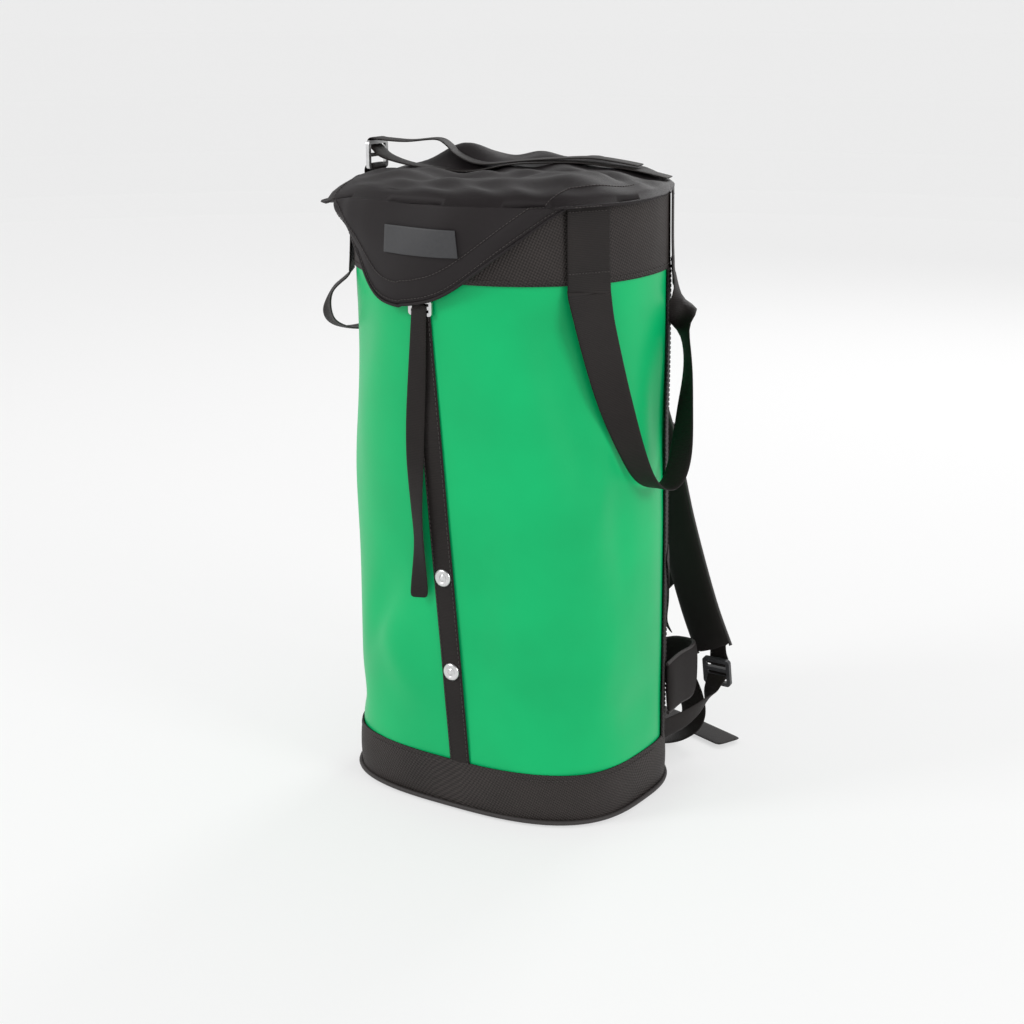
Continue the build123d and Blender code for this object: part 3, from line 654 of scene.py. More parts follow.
def spun(name, profile, centre, axis, material, body, segments=40):
    """Turned part: a profile of (radius, height) in mm spun about its axis."""
    bm = bmesh.new()
    verts = [bm.verts.new((r * MM, 0, h * MM)) for r, h in profile]
    edges = [bm.edges.new(pair) for pair in zip(verts, verts[1:])]
    bmesh.ops.spin(bm, geom=verts + edges, cent=(0, 0, 0), axis=(0, 0, 1), angle=2 * math.pi, steps=segments,
                   use_merge=True)
    bmesh.ops.remove_doubles(bm, verts=bm.verts[:], dist=1e-6)
    bmesh.ops.recalc_face_normals(bm, faces=bm.faces[:])
    turn = Vector(axis).to_track_quat("Z", "Y")
    for vert in bm.verts:
        vert.co = Vector(centre) + turn @ vert.co
    return finish_piece(bm, name, material, body)


WASHER = [(0, 2.6), (2.2, 2.5), (3.0, 1.9), (3.4, 1.3), (4.6, 1.2), (5.4, 2.2), (7.4, 2.4), (9.0, 1.4), (9.5, 0.2),
          (9.5, -0.4), (0, -0.4)]
rivet_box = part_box("webbing_rivets")
rivet_zs = [rivet_box[0][2] + 0.0095, rivet_box[1][2] - 0.0095]
for i, z in enumerate(rivet_zs):
    spot = on_skin(front_angle(z), z, (2.8 + dents(front_angle(z), z)) * MM)
    rivet = spun(f"rivet_{i + 1}", WASHER, spot, (0, -1, 0), METAL, "bag")
    if i == 0:
        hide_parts("webbing_rivets")


# %% [markdown]
# ## Badges
# Two blank rubber plates: one round the side under the collar and one on the lid.  A grid is wrapped on its
# surface, and its edge is pressed down with an inset so that a border stands round it.

# %% Rubber badges
def badge(name, angle, z, width, height, surface, body, node, thickness=2.0):
    bm = bmesh.new()
    bmesh.ops.create_grid(bm, x_segments=24, y_segments=12, size=0.5)
    for vert in bm.verts:
        vert.co.x *= width
        vert.co.y *= height
    border = bmesh.ops.inset_region(bm, faces=bm.faces[:], thickness=2.4 * MM)
    inner = [f for f in bm.faces if f not in border["faces"]]
    second = bmesh.ops.inset_region(bm, faces=inner, thickness=0.6 * MM)
    sunk = [f for f in inner if f not in second["faces"]]
    for vert in {v for f in sunk for v in f.verts}:
        vert.co.z -= 0.5 * MM
    radius = 0.158
    for vert in bm.verts:
        turn = math.degrees(vert.co.x / radius)
        vert.co = surface(angle + turn, z + vert.co.y, vert.co.z + thickness * MM)
    bmesh.ops.recalc_face_normals(bm, faces=bm.faces[:])
    along = bm.verts.layers.float.new("along")
    across = bm.verts.layers.float.new("across")
    write_uv(bm, along, across)
    piece = finish_piece(bm, name, RUBBER, body)
    wall = piece.modifiers.new("wall", "SOLIDIFY")
    wall.thickness = 1.8 * MM
    wall.offset = -1.0
    edge = piece.modifiers.new("edge", "BEVEL")
    edge.width = 0.5 * MM
    edge.segments = 2
    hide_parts(node)
    return piece


side_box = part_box("side_badge")
side_z = (side_box[0][2] + side_box[1][2]) / 2
badge("side_badge_plate", -91, side_z, 0.086, 0.060, lambda a, z, o: on_skin(a, z, o), "bag", "side_badge")


# %% [markdown]
# ## The lid
# One sheet of nylon: a crown over the mouth and a rounded tongue that hangs over the front.  The sheet starts as
# a small disc and grows by extruding its edge outwards, first over the crown and then down the front.

# %% The lid's surface
LID_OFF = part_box("lid_sheet")[1][0] - HIGH[0]
TONGUE_HALF = 0.138
TONGUE_TIP = 0.034
TONGUE_TIP_X = -0.024
TONGUE_DROP = RIM_Z + 0.002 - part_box("lid_sheet")[0][2]
LID_FOOT = RIM_Z + 0.004
BACK_OFF = 0.0055


def tongue_length(angle):
    """How far the lid's edge hangs below the mouth at an angle."""
    turn = (angle + 180) % 360 - 180
    if abs(turn) > 89:
        return 0.004
    x = on_skin(turn, RIM_Z, LID_OFF).x
    way = math.copysign(1, x - TONGUE_TIP_X)
    share = (TONGUE_HALF - way * x) / (TONGUE_HALF - way * TONGUE_TIP_X - TONGUE_TIP)
    sharp = 7.0
    soft = 1 - math.log(1 + math.exp(sharp * (1 - share))) / sharp
    return 0.006 + (TONGUE_DROP - 0.006) * max(soft, 0.0)


CREASES = [
    (-0.105, 0.065, 0.024, 0.040, 0.040), (0.108, -0.055, 0.014, 0.040, 0.045), (0.03, -0.105, 0.004, 0.06, 0.03),
    (-0.10, -0.07, 0.006, 0.045, 0.045), (-0.075, 0.015, -0.011, 0.045, 0.030), (0.06, 0.10, 0.010, 0.06, 0.03),
    (-0.02, -0.055, -0.006, 0.05, 0.03), (-0.03, 0.11, 0.012, 0.05, 0.03), (0.06, 0.035, 0.006, 0.05, 0.03),
]


def crown_height(x, y, share):
    """Height of the crown above the mouth's edge; share is 0 at the middle and 1 at the edge."""
    height = 0.007 * (1 - share ** 2.6)
    for cx, cy, amount, rx, ry in CREASES:
        height += amount * math.exp(-((x - cx) / rx) ** 2 - ((y - cy) / ry) ** 2) * (1 - share ** 6)
    fold = math.sin(x * 95 + y * 60 + 2.2 * math.sin(y * 48)) * 0.0016 + math.sin(x * 40 - y * 130) * 0.0011
    return height + fold * (1 - share ** 8)


def lid_point(angle, share):
    """Point of the lid: share 0 to 1 crosses the crown, 1 to 2 goes down to the hem."""
    turn = (angle + 180) % 360 - 180
    left = math.exp(-((turn + 60) / 20) ** 2)
    right = math.exp(-((turn - 46) / 14) ** 2)
    droop = 0.016 * left
    flare = 0.022 * left + 0.004 * right
    front = 1 / (1 + math.exp((abs(turn) - 98) / 5))
    stand = BACK_OFF + (LID_OFF - BACK_OFF) * front
    roll = 0.005 + 0.005 * front
    if share <= 1:
        edge = on_skin(angle, RIM_Z, stand + flare * share ** 4)
        past = max(0.0, (share - 0.88) / 0.12)
        near = share - 0.02 * past * (1 - past)
        x, y = edge.x * near, edge.y * near
        fall = droop * share ** 9 + roll * (1 - math.sqrt(1 - min(past, 1.0) ** 2.4))
        return Vector((x, y, LID_FOOT + crown_height(x, y, share) - fall))
    down = (share - 1) * tongue_length(angle)
    calm = max(0.0, 1 - (turn / 84) ** 6)
    from_edge = (2 - share) * tongue_length(angle)
    hem_fold = 0.0010 / (1 + math.exp((from_edge - 0.022) / 0.0015))
    gathers = 0.0026 * left * math.sin(turn * 0.62 + share * 2.0) + hem_fold
    belly = 0.0045 * math.sin((share - 1) * math.pi) + 0.0022 * math.sin(turn * 0.16 + share * 5) + gathers
    out = stand + flare * (1 - 0.9 * (share - 1)) + belly * calm
    return on_skin(angle, LID_FOOT - droop - roll - max(down - roll, 0.0), out)


def lid_sheet():
    bm = bmesh.new()
    along = bm.verts.layers.float.new("along")
    across = bm.verts.layers.float.new("across")
    segments = 200
    bmesh.ops.create_circle(bm, segments=segments, radius=1.0, cap_ends=True, cap_tris=True)
    row = sorted((v for v in bm.verts if v.co.length > 0.5), key=lambda v: math.atan2(v.co.x, -v.co.y))
    angles = [math.degrees(math.atan2(v.co.x, -v.co.y)) for v in row]
    centre = next(v for v in bm.verts if v.co.length < 0.5)
    centre.co = lid_point(0, 0)
    edges = [next(e for e in a.link_edges if e.other_vert(a) == b) for a, b in zip(row, row[1:] + row[:1])]
    shares = steps(0.03, 1.0, 36) + steps(1.02, 2.0, 34)
    for i, share in enumerate(shares):
        if i:
            row, edges = extrude_row(bm, edges, row)
        for angle, vert in zip(angles, row):
            vert.co = lid_point(angle, share)
            down = max(share - 1, 0) * tongue_length(angle)
            flat = on_skin(angle, RIM_Z, LID_OFF) * min(share, 1)
            vert[across] = flat.x
            vert[along] = flat.y - down
    bmesh.ops.recalc_face_normals(bm, faces=bm.faces[:])
    write_uv(bm, along, across)
    piece = finish_piece(bm, "lid_cloth", LID_CLOTH, "lid")
    return add_thickness(piece, 1.2 * MM, -1.0, 0)


lid_cloth = lid_sheet()
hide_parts("lid_sheet")


def hem_line(back_off, lift, start=-86, end=86, count=160):
    """Line along the tongue's edge, set back from it and lifted off the cloth."""
    line = []
    for i in range(count + 1):
        angle = start + (end - start) * i / count
        length = tongue_length(angle)
        share = 2 - back_off / max(length, 0.004) if length > back_off else 1 - (back_off - length) / 0.16
        p = lid_point(angle, share)
        line.append(p + Vector((p.x, p.y, 0)).normalized() * lift)
    return line


hem = cord_curve("lid_hem", hem_line(0.0, 0.0002, -89, 89), 1.7 * MM, LID_CLOTH, "lid")
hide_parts("lid_binding")
stitches("lid_edge_stitches", hem_line(0.005, 0.0006), 0.004, 0.0028, 0.0004, THREAD, "lid")
stitches("lid_hem_stitches", hem_line(0.024, 0.0006), 0.004, 0.0028, 0.00045, THREAD, "lid")


def lid_face(angle, z, off):
    length = max(tongue_length(angle), 0.004)
    p = lid_point(angle, 1 + (LID_FOOT - z) / length)
    return p + Vector((p.x, p.y, 0)).normalized() * off


badge_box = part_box("lid_badge")
badge_z = (badge_box[0][2] + badge_box[1][2]) / 2
badge("lid_badge_plate", 0, badge_z, 0.070, 0.027, lid_face, "lid", "lid_badge", 1.4)


# %% [markdown]
# ## Cinch strap
# The strap crosses the lid, turns round the ring's bar and comes back over itself with a kink where it was
# folded.

# %% Lid strap
def over_lid(x, y, lift):
    """A point in mm lifted off the crown."""
    reach = Vector((x, y)).length
    angle = math.degrees(math.atan2(x, -y))
    edge = on_skin(angle, RIM_Z, LID_OFF).to_2d().length / MM
    share = min(reach / edge, 1.0)
    return (x, y, (LID_FOOT + crown_height(x * MM, y * MM, share)) / MM + lift)


ring_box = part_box("lid_ring")
ring_x = (ring_box[0][0] + ring_box[1][0]) / 2 / MM
ring_top = ring_box[1][2] / MM
ring_y = (ring_box[0][1] + ring_box[1][1]) / 2 / MM
CROSS = (0.24, -0.97, 0)
under = [(*over_lid(146, 70, 1.5),)] + [over_lid(x, y, 2.2) for x, y in (
    (118, 64), (88, 58), (55, 50), (20, 42), (-20, 32), (-62, 22), (-100, 11), (-130, 2))]
strap_route = [(p, CROSS, 25) for p in under]
strap_route += [((ring_x + 12, ring_y + 3, ring_top - 17), (0, -1, 0), 25), ((ring_x + 2, ring_y, ring_top - 9), (0, -1, 0), 25),
                ((ring_x - 4, ring_y, ring_top - 3), (0, -1, 0), 25), ((ring_x - 1, ring_y, ring_top + 2.2), (0, -1, 0), 25),
                ((ring_x + 10, ring_y + 3, ring_top + 1), (0.1, -1, 0), 25), ((-136, 12, ring_top - 1), (0.2, -0.97, 0), 25),
                ((-112, 28, ring_top + 1), (0.3, -0.95, 0), 25), ((-100, 32, ring_top - 5), (0.3, -0.95, 0), 25),
                ((-90, 34, ring_top - 14), (0.3, -0.95, 0), 25)]
strap_route += [(over_lid(x, y, 6.0), CROSS, 25) for x, y in ((-60, 36), (-15, 44), (20, 50))]
strap_route += [(over_lid(x, y, lift), CROSS, 25) for x, y, lift in ((60, 59, 8.0), (90, 65, 7.0), (112, 70, 5.0))]
lid_strap = band("lid_strap_web", strap_route, body="lid", per_span=5)
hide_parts("lid_strap")
anchor_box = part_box("ring_anchor")
anchor_x = anchor_box[0][0] / MM + 0.9
anchor_route = [(on_skin(-90, z, 3.8 * MM) / MM, (0, 1, 0), 25) for z in (RIM_Z - 0.04, RIM_Z - 0.025, RIM_Z - 0.011)]
ring_foot = ring_box[0][2] / MM
anchor_route += [((anchor_x, ring_y, RIM_Z / MM - 2), (0, 1, 0), 25), ((anchor_x, ring_y, ring_foot + 2), (0, 1, 0), 25),
                 ((ring_x - 1.5, ring_y, ring_foot + 5.4), (0, 1, 0), 25), ((ring_x + 2.8, ring_y, ring_foot + 3), (0, 1, 0), 25),
                 ((ring_x + 1.5, ring_y, ring_foot - 1.8), (0, 1, 0), 25), ((anchor_x + 2.6, ring_y, ring_foot - 3.5), (0, 1, 0), 25)]
anchor = band("ring_anchor_web", anchor_route, body=None, per_span=4)
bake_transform(anchor)
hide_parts("ring_anchor")


# %% [markdown]
# ## Haul loops
# Each loop is one length of wide webbing sewn flat on the collar at both ends.  It twists on the way down, and the
# middle is folded double into a narrower grip.

# %% Haul loops
LOOP_FRONT, LOOP_BACK = 59, 117


def loop_end(angle, flip, low):
    """Sewn end of a loop on the collar, from its top down to where it hangs free."""
    heights = [RIM_Z - 0.004, RIM_Z - 0.03, RIM_Z - 0.058, COLLAR_Z - 0.004, low]
    return [(on_skin(flip * angle, z, off * MM) / MM, around(flip * angle, z) * flip, 48)
            for z, off in zip(heights, (3.6, 3.6, 3.8, 5.0, 6.5))]


def mirrored(route, flip):
    return [((flip * p[0], p[1], p[2]), (flip * w[0], w[1], w[2]), k) for p, w, k in route]


LONG_LOOP = [
    ((153, -84, 520), (0.5, 0.85, 0), 44), ((164, -72, 460), (0.7, 0.7, 0), 36), ((173, -52, 405), (0.9, 0.4, 0), 29),
    ((178, -30, 368), (1, 0.2, 0), 26), ((182, -6, 352), (1, 0, 0), 26), ((184, 18, 354), (1, 0, 0), 26),
    ((183, 36, 375), (1, -0.1, 0), 28), ((181, 48, 420), (0.8, -0.5, 0), 34), ((176, 60, 480), (0.6, -0.75, 0), 42),
]
SHORT_LOOP = [
    ((163, -92, 536), (0.55, 0.8, 0), 38), ((176, -82, 508), (0.8, 0.5, 0), 29), ((184, -52, 490), (1, 0.1, 0), 26),
    ((184, -14, 484), (1, 0, 0), 26), ((181, 26, 488), (1, 0, 0), 26), ((175, 62, 505), (0.9, -0.3, 0), 29),
    ((165, 80, 532), (0.6, -0.75, 0), 38),
]
for side, flip, middle in (("right", 1, LONG_LOOP), ("left", -1, SHORT_LOOP)):
    start = loop_end(LOOP_FRONT, flip, 0.555)
    end = loop_end(LOOP_BACK, flip, 0.555)[::-1]
    route = start + mirrored(middle, flip) + end
    loop = band(f"haul_web_{side}", route, body=None, thickness=2.0, per_span=6, columns=4, bow=0.8)
    body = f"haul_loop_{side}"
    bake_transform(loop)
    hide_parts(body, *(["haul_patches"] if side == "left" else []))
    for angle in (LOOP_FRONT, LOOP_BACK):
        for z in (RIM_Z - 0.012, COLLAR_Z + 0.012):
            centre, across = on_skin(flip * angle, z, 4.9 * MM), around(flip * angle, z)
            line = [centre + across * (t / 20 - 0.5) * 0.042 for t in range(21)]
            stitches(f"loop_bar_{side}_{angle}_{round(z * 1000)}", line, 0.0035, 0.0025, 0.0004, THREAD, "bag")


# %% [markdown]
# ## Front tail
# A flat strap hangs from a small metal buckle under the tongue's tip, twists once and ends in a sewn fold.

# %% Front tail
def front_point(x, z, off):
    """Point in front of the bag, in mm, at a distance off the middle of its front."""
    return (x, -(girth(z * MM)[1] / MM + off), z)


def free_band(name, route, node, body, exit_at=0, length_scale=1.0):
    """A free length of webbing, smoothed along a NURBS line."""
    piece = band(name, route, body=body, thickness=1.6, per_span=8, smooth=nurbs_line)
    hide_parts(node)
    line = nurbs_line([Vector(p) * MM for p, _, _ in route], 8)
    return piece


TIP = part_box("lid_sheet")[0][2] / MM
FRONT_TAIL = [
    (front_point(-8, TIP + 7, 5.9), (1, 0, 0), 18), (front_point(-12, TIP - 60, 8), (1, 0.1, 0), 21),
    (front_point(-18, TIP - 130, 9), (0.9, 0.4, 0), 20), (front_point(-21, TIP - 200, 8), (0.95, -0.3, 0), 20),
    (front_point(-18, TIP - 255, 8.5), (1, -0.5, 0), 19), (front_point(-22, TIP - 303, 8.5), (0.9, 0.5, 0), 19),
]
free_band("front_tail_web", FRONT_TAIL, "front_tail", "bag")


# %% [markdown]
# ## Slot and back tabs
# The harness stows in a pocket behind a slot in the back.  The fabric above the slot turns up and shows its blue
# reverse.

# %% The slot's blue lip
def slot_lip():
    bm = bmesh.new()
    along = bm.verts.layers.float.new("along")
    across = bm.verts.layers.float.new("across")
    columns, rows = 72, 8
    row = [bm.verts.new((0, 0, c * MM)) for c in range(columns + 1)]
    edges = [bm.edges.new((row[c], row[c + 1])) for c in range(columns)]
    for r in range(rows + 1):
        if r:
            row, edges = extrude_row(bm, edges, row)
        for c, vert in enumerate(row):
            s = c / columns * 2 - 1
            tall = 0.032 * max(1 - abs(s + 0.15) ** 2.0 / (1.32 if s > -0.15 else 0.74), 0.0)
            x = SLOT_MID - s * (SLOT_HALF - 0.002)
            fray = 0.0009 * (c % 2) if r == rows else 0.0
            z = SLOT_Z - 0.004 * (1 - s * s) + max(tall, 0.0005) * r / rows + fray
            out = 0.0012 + 0.013 * math.sin(r / rows * 1.9) * (1 - s * s)
            vert.co = on_skin(angle_at(x, z), z, out)
            vert[along], vert[across] = z, x
    bmesh.ops.recalc_face_normals(bm, faces=bm.faces[:])
    write_uv(bm, along, across)
    piece = finish_piece(bm, "slot_lip_cloth", BLUE, "bag")
    return add_thickness(piece, 1.1 * MM, 0.0, 0)


lip = slot_lip()
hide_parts("slot_lip")

for side, x in (("left", -54.0), ("right", 47.0)):
    angle = angle_at(x * MM, RIM_Z - 0.06)
    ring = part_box(f"lifter_ring_{side}")
    rx, ry, rz = [(a + b) / 2 / MM for a, b in zip(*ring)]
    route = [(on_skin(angle, z, 3.4 * MM) / MM, around(angle, z), 48) for z in (0.612, 0.59, COLLAR_Z + 0.004)]
    low = on_skin(angle, COLLAR_Z - 0.004, 6 * MM) / MM
    route += [(tuple(low), around(angle, 0.56), 42), ((low.x * 0.6 + rx * 0.4, low.y + 6, 553), (-1, 0.25, 0), 27),
              ((rx, ry - 3, rz + 20), (-1, 0.1, 0), 23), ((rx, ry + 3.5, rz + 16), (-1, 0, 0), 22),
              ((rx, ry + 4.5, rz + 22), (-1, -0.1, 0), 24), ((low.x * 0.6 + rx * 0.4, low.y + 13, 556), (-1, 0.3, 0), 27)]
    tab = band(f"back_tab_web_{side}", route, per_span=5, thickness=1.6)
    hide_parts(f"back_tab_{side}")
    bar = [on_skin(angle, 0.611, 5.0 * MM) + around(angle, 0.611) * (t / 20 - 0.5) * 0.05 for t in range(21)]
    stitches(f"tab_bar_{side}", bar, 0.0018, 0.0018, 0.0008, PALE_THREAD, "bag")


# %% [markdown]
# ## Padded parts
# A pad is foam between two cloths, so its section is a flat oval that crowns in the middle and pinches at the
# piped edges.  A small ring of vertices is extruded from station to station.

# %% Pads
def pad(name, route, thick, body, node, crown=1.0, puff=None, per_span=6, piping=True):
    rows = stations_of(route, per_span)
    bm = bmesh.new()
    along = bm.verts.layers.float.new("along")
    across = bm.verts.layers.float.new("across")
    sides = 20
    bmesh.ops.create_circle(bm, segments=sides, radius=1.0)
    row = sorted(bm.verts, key=lambda v: math.atan2(v.co.y, v.co.x))
    turns = [math.atan2(v.co.y, v.co.x) for v in row]
    edges = [next(e for e in a.link_edges if e.other_vert(a) == b) for a, b in zip(row, row[1:] + row[:1])]
    first = row
    run = 0.0
    edge_lines = ([], [])
    for i, (p, side, width, up) in enumerate(rows):
        if i:
            run += (p - rows[i - 1][0]).length
            row, edges = extrude_row(bm, edges, row)
        share = i / (len(rows) - 1)
        end = min(1.0, 14 * share + 0.35, 14 * (1 - share) + 0.35)
        lift = puff(run, share) if puff else 1.0
        for turn, vert in zip(turns, row):
            c, s = math.cos(turn), math.sin(turn)
            w = width / 2 * math.copysign(abs(c) ** 0.75, c) * (0.9 + 0.1 * end)
            h = thick * MM / 2 * math.copysign(abs(s) ** (0.8 * crown), s) * end * lift
            vert.co = p + side * w + up * h
            vert[along], vert[across] = run, w + math.copysign(h, s)
        edge_lines[0].append(p + side * (width / 2 * 0.97))
        edge_lines[1].append(p - side * (width / 2 * 0.97))
    bmesh.ops.contextual_create(bm, geom=edges)
    bmesh.ops.contextual_create(bm, geom=[e for e in bm.edges if e.verts[0] in first and e.verts[1] in first])
    bmesh.ops.recalc_face_normals(bm, faces=bm.faces[:])
    write_uv(bm, along, across)
    piece = finish_piece(bm, name, PADDING, body)
    soft = piece.modifiers.new("soft", "SUBSURF")
    soft.levels = soft.render_levels = 1
    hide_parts(node)
    if piping:
        for i, line in enumerate(edge_lines):
            cord_curve(f"{name}_piping_{i + 1}", line, 1.9 * MM, PIPING, body)
    return piece


PAD_ROUTE = {
    "right": [(36, 160, 482), (54, 176, 424), (76, 188, 345), (98, 191, 257), (128, 192, 165), (152, 190, 112)],
    "left": [(-58, 160, 482), (-60, 178, 422), (-57, 190, 340), (-49, 193, 252), (-72, 192, 164), (-118, 190, 87)],
}
PAD_TURN = {"right": (0.97, -0.25, 0.1), "left": (0.98, 0.1, -0.12)}
UP = (0, 0, 1)


def pad_route(side, lift=0.0, width=57, trim=0, shift=0.0):
    return [((x + shift, y + lift, z), PAD_TURN[side], width) for x, y, z in PAD_ROUTE[side][trim:]]


for side in ("left", "right"):
    pad(f"shoulder_foam_{side}", pad_route(side), 12, "harness", f"shoulder_pad_{side}")
    wavy = band(f"daisy_web_{side}", pad_route(side, 8.0, 25, 1), body="harness", per_span=14,
                wave=lambda run, share: 2.4 * abs(math.sin(run * math.pi / 0.045)) - 0.8)
    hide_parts(f"shoulder_webbing_{side}")

LEFT_WING = [((-159, 66, 108), UP, 60), ((-157, 96, 110), UP, 60), ((-154, 126, 109), UP, 60), ((-141, 152, 106), UP, 60),
             ((-110, 164, 102), UP, 60), ((-70, 168, 97), UP, 60), ((-42, 170, 93), UP, 50)]
RIGHT_WING = [((159, 66, 106), UP, 60), ((157, 96, 108), UP, 60), ((155, 126, 106), UP, 60), ((143, 154, 102), UP, 60),
              ((118, 167, 97), UP, 60), ((96, 172, 94), UP, 50)]
pad("hip_foam_left", LEFT_WING, 10, "bag", "hip_wing_left")
pad("hip_foam_right", RIGHT_WING, 10, "bag", "hip_wing_right")


def lumbar_route():
    """Stations from left to right; the pad is tallest at its middle."""
    route = []
    for i in range(13):
        x = 110 - 220 * i / 12
        p = on_skin(angle_at(x * MM, 0.12), 0.12, 9 * MM) / MM
        height = 110 - 34 * abs(x / 110) ** 1.3
        route.append(((p.x, p.y, 66 + height / 2), UP, height))
    return route


pad("lumbar_foam", lumbar_route(), 13, "bag", "lumbar_pad")


# %% [markdown]
# ## Harness straps
# The rest is webbing: stabilisers at the lumbar pad, the straps from the base to the ladder locks, the hip and
# sternum straps, and the long tails that end up on the floor.

# %% Straps
for side, flip in (("left", -1), ("right", 1)):
    route = [(on_skin(flip * a, z, off * MM) / MM, around(flip * a, z) + Vector((0, 0, 0.2 * flip)), 25)
             for a, z, off in ((113, 0.262, 3.2), (118, 0.240, 4.0), (126, 0.205, 4.4), (133, 0.176, 5.5),
                               (137, 0.158, 13.0))]
    stabiliser = band(f"stabiliser_web_{side}", route)
    if flip > 0:
        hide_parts("stabilisers")

LOWER = {
    "right": [((139, 92, 44), (0.1, 0, 1), 25), ((152, 130, 50), (0.2, 0, 1), 25), ((158, 164, 60), (0.5, 0, 0.85), 25),
              ((157, 179, 72), (0.9, 0, 0.4), 25), ((157, 190, 82), (1, 0, 0), 25), ((157, 197, 92), (1, 0, 0), 25)],
    "left": [((-141, 92, 40), (0.1, 0, 1), 25), ((-147, 130, 26), (0.3, 0, 0.95), 25),
             ((-138, 162, 26), (0.6, 0, 0.8), 25), ((-128, 179, 34), (0.9, 0, 0.4), 25),
             ((-124, 190, 44), (1, 0, 0), 25), ((-124, 196, 58), (1, 0, 0), 25)],
}
for side, flip in (("left", -1), ("right", 1)):
    lower = band(f"lower_web_{side}", LOWER[side], body=None)
    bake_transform(lower)
    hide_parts(f"lower_strap_{side}")
    x, y, z = PAD_ROUTE[side][-1]
    lock_route = [((x, y + 7, z + 20), PAD_TURN[side], 25), ((x + flip * 2, y + 6, z - 2), PAD_TURN[side], 25),
                  ((x + flip * 4, y + 4.5, z - 14), (1, 0, 0), 25), ((x + flip * 4, y - 3, z - 16), (1, 0, 0), 25)]
    band(f"lock_web_{side}", lock_route, body="harness")

web_l = band("hip_web_left", [((-44, 176, 93), UP, 38), ((-18, 178, 92), UP, 38), ((4, 179, 92), UP, 38),
                              ((9, 176, 92), UP, 38)])
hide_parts("hip_webbing")
band("hip_web_right", [((99, 178, 94), UP, 38), ((84, 179, 93), UP, 38), ((72, 181, 92), UP, 38),
                       ((68, 176, 92), UP, 38)])
STERNUM_RIGHT = [((102, 205, 214), (0, 0.1, 1), 20), ((84, 211, 184), (0.4, 0, 0.9), 20),
                 ((60, 212, 160), (0.5, 0, 0.85), 20), ((47, 212, 150), (0.5, 0, 0.85), 20)]
STERNUM_LEFT = [((20, 212, 134), (0.5, 0, 0.85), 20), ((8, 211, 141), (0.3, 0, 0.95), 20),
                ((-16, 205, 150), (0.2, 0, 1), 20), ((-52, 202, 160), (0.2, 0, 1), 20)]
sternum = band("sternum_web_right", STERNUM_RIGHT, body="harness", thickness=1.5)
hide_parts("sternum_webbing")
band("sternum_web_left", STERNUM_LEFT, body="harness", thickness=1.5)

LIFTER_WEB = {
    "right": [((60, 171, 522), (1, 0, 0), 23), ((60, 178, 512), (1, 0, 0), 24), ((58, 186, 484), (1, -0.1, 0), 25),
              ((64, 193, 424), (0.97, -0.2, 0), 25), ((72, 198.4, 372), (0.97, -0.25, 0), 25)],
    "left": [((-38, 174, 522), (1, 0, 0), 23), ((-38, 181, 512), (1, 0, 0), 24), ((-46, 187, 484), (1, 0.1, 0), 25),
             ((-57, 193, 424), (1, 0.1, 0), 25), ((-58, 199, 374), (1, 0.1, 0), 25)],
}
for side, route in LIFTER_WEB.items():
    lifter = band(f"lifter_web_{side}", route, body=None, per_span=7)
    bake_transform(lifter)

TAIL_ROUTE = [
    ((-26, 184, 505), (1, 0.1, 0), 25), ((-27, 202, 430), (1, 0.15, 0), 25), ((-27, 211, 340), (1, 0.1, 0), 25),
    ((-26, 213, 250), (1, 0, 0), 25), ((-24, 214, 165), (1, -0.1, 0), 25), ((-20, 216, 110), (1, -0.2, 0), 30),
    ((-18, 218, 70), (1, -0.3, 0), 36), ((-24, 216, 34), (0.9, -0.4, 0), 36), ((-42, 212, 13), (0.5, -0.5, 0.7), 30),
    ((-72, 208, 14), (0.1, 0, 1), 25), ((-100, 204, 26), (0, 0.1, 1), 25),
]
FLOOR_ROUTE = [
    ((-134, 206, 34), (0, 0.5, 0.85), 25), ((-146, 208, 20), (0, 0.6, 0.8), 25),
    ((-144, 220, 10), (0.3, 0.9, 0.5), 25), ((-122, 232, 5), (0.1, 1, 0.2), 25),
    ((-80, 238, 3), (0, 1, 0.05), 26), ((-30, 243, 3), (0, 1, 0), 34), ((20, 240, 3), (0.1, 1, 0), 36),
    ((80, 226, 3), (0.25, 1, 0), 36), ((130, 208, 3), (0.3, 1, 0), 36), ((176, 190, 3.5), (0.4, 1, 0), 36),
]
HIP_TAIL = [
    ((84, 186, 88), (0, 0.1, 1), 36), ((106, 196, 72), (0.4, 0.1, 0.9), 36),
    ((128, 190, 44), (0.85, -0.1, 0.5), 36), ((133, 180, 24), (0.99, -0.16, 0), 36),
    ((124, 166, 8), (0.64, -0.77, 0), 36), ((104, 156, 3.5), (0.34, -0.94, 0), 36),
    ((80, 150, 3), (0.12, -0.99, 0), 36), ((48, 150, 3), (0, -1, 0), 36), ((8, 152, 3), (-0.1, -1, 0), 36),
]
free_band("lifter_tail_web", TAIL_ROUTE, "lifter_tail", "harness")
free_band("floor_tail_web", FLOOR_ROUTE, "floor_tail", "harness")
free_band("hip_tail_web", HIP_TAIL, "hip_tail", "bag")


# %% [markdown]
# ## Hard parts
# Buckles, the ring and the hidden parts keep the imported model's shape.  They only need their finish.

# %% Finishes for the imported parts
for entry in frame["record"]["subparts"]:
    node = entry["node"]
    piece = bpy.data.objects.get(node)
    if piece is None or piece.hide_render:
        continue
    look = {"buckle_plastic": PLASTIC, "bare_metal": METAL, "lining": LINING, "webbing": WEBBING,
            "padding": PADDING, "rubber_badge": RUBBER, "nylon_weave": BASKET, "lid_nylon": LID_CLOTH}
    material = look.get(entry["material_slot"])
    if material:
        for i in range(len(piece.data.materials)):
            piece.material_slots[i].material = material


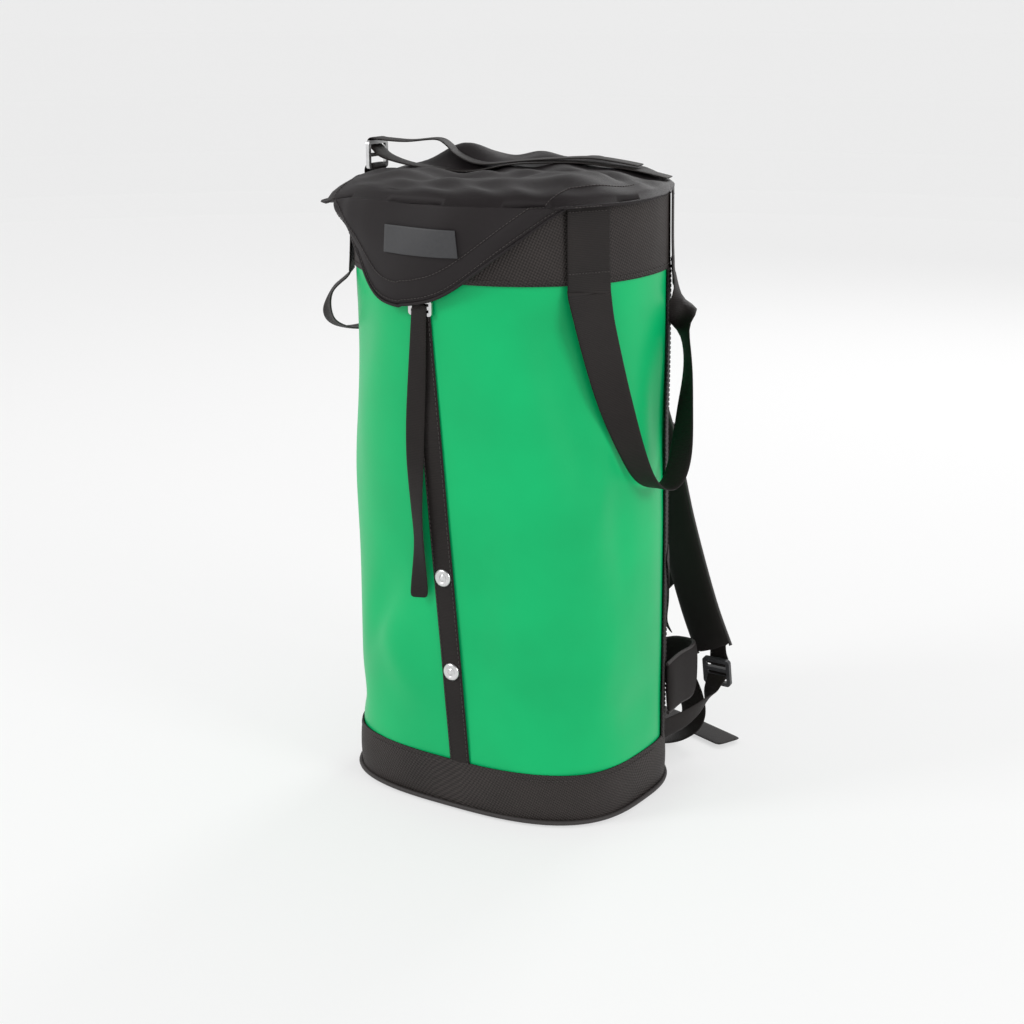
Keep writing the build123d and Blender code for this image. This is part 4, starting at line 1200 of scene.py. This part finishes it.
# %% [markdown]
# ## Studio
# A pale floor, a large soft light on each side and a bright even surround.

# %% Floor and lights
def studio():
    """Pale floor that curves up far behind the bag into a backdrop all round, and three soft lights."""
    bm = bmesh.new()
    profile = [(0.0, -0.0005), (2.2, -0.0005), (5.0, -0.0005)]
    profile += [(5.0 + 2.0 * math.sin(t * math.pi / 16), 2.0 - 2.0 * math.cos(t * math.pi / 16)) for t in range(1, 9)]
    profile += [(7.0, 9.0)]
    verts = [bm.verts.new((r, 0, z)) for r, z in profile]
    edges = [bm.edges.new(pair) for pair in zip(verts, verts[1:])]
    bmesh.ops.spin(bm, geom=verts + edges, cent=(0, 0, 0), axis=(0, 0, 1), angle=2 * math.pi, steps=64,
                   use_merge=True)
    bmesh.ops.remove_doubles(bm, verts=bm.verts[:], dist=1e-5)
    mesh = bpy.data.meshes.new("studio_floor")
    bm.to_mesh(mesh)
    bm.free()
    ground = bpy.data.objects.new("studio_floor", mesh)
    bpy.context.scene.collection.objects.link(ground)
    material, _, shader = new_material("studio_pale")
    shader.inputs["Base Color"].default_value = (0.32, 0.32, 0.32, 1)
    shader.inputs["Roughness"].default_value = 1.0
    shader.inputs["Emission Color"].default_value = (0.85, 0.85, 0.85, 1)
    shader.inputs["Emission Strength"].default_value = 0.7
    mesh.materials.append(material)
    world = bpy.data.worlds.new("studio_world")
    world.use_nodes = True
    world.node_tree.nodes["Background"].inputs[0].default_value = (1, 1, 1, 1)
    world.node_tree.nodes["Background"].inputs[1].default_value = 0.26
    bpy.context.scene.world = world
    for name, spot, power, size in (("key", (-1.7, -2.1, 2.1), 36, 0.9), ("fill", (2.7, -0.5, 1.5), 27, 0.9),
                                    ("back", (-0.2, 2.8, 2.0), 30, 0.9)):
        light = bpy.data.lights.new(name, "AREA")
        light.energy = power
        light.size = size
        lamp = bpy.data.objects.new(name, light)
        lamp.location = spot
        lamp.rotation_euler = (Vector((0, 0, 0.35)) - Vector(spot)).to_track_quat("-Z", "Y").to_euler()
        bpy.context.scene.collection.objects.link(lamp)


studio()
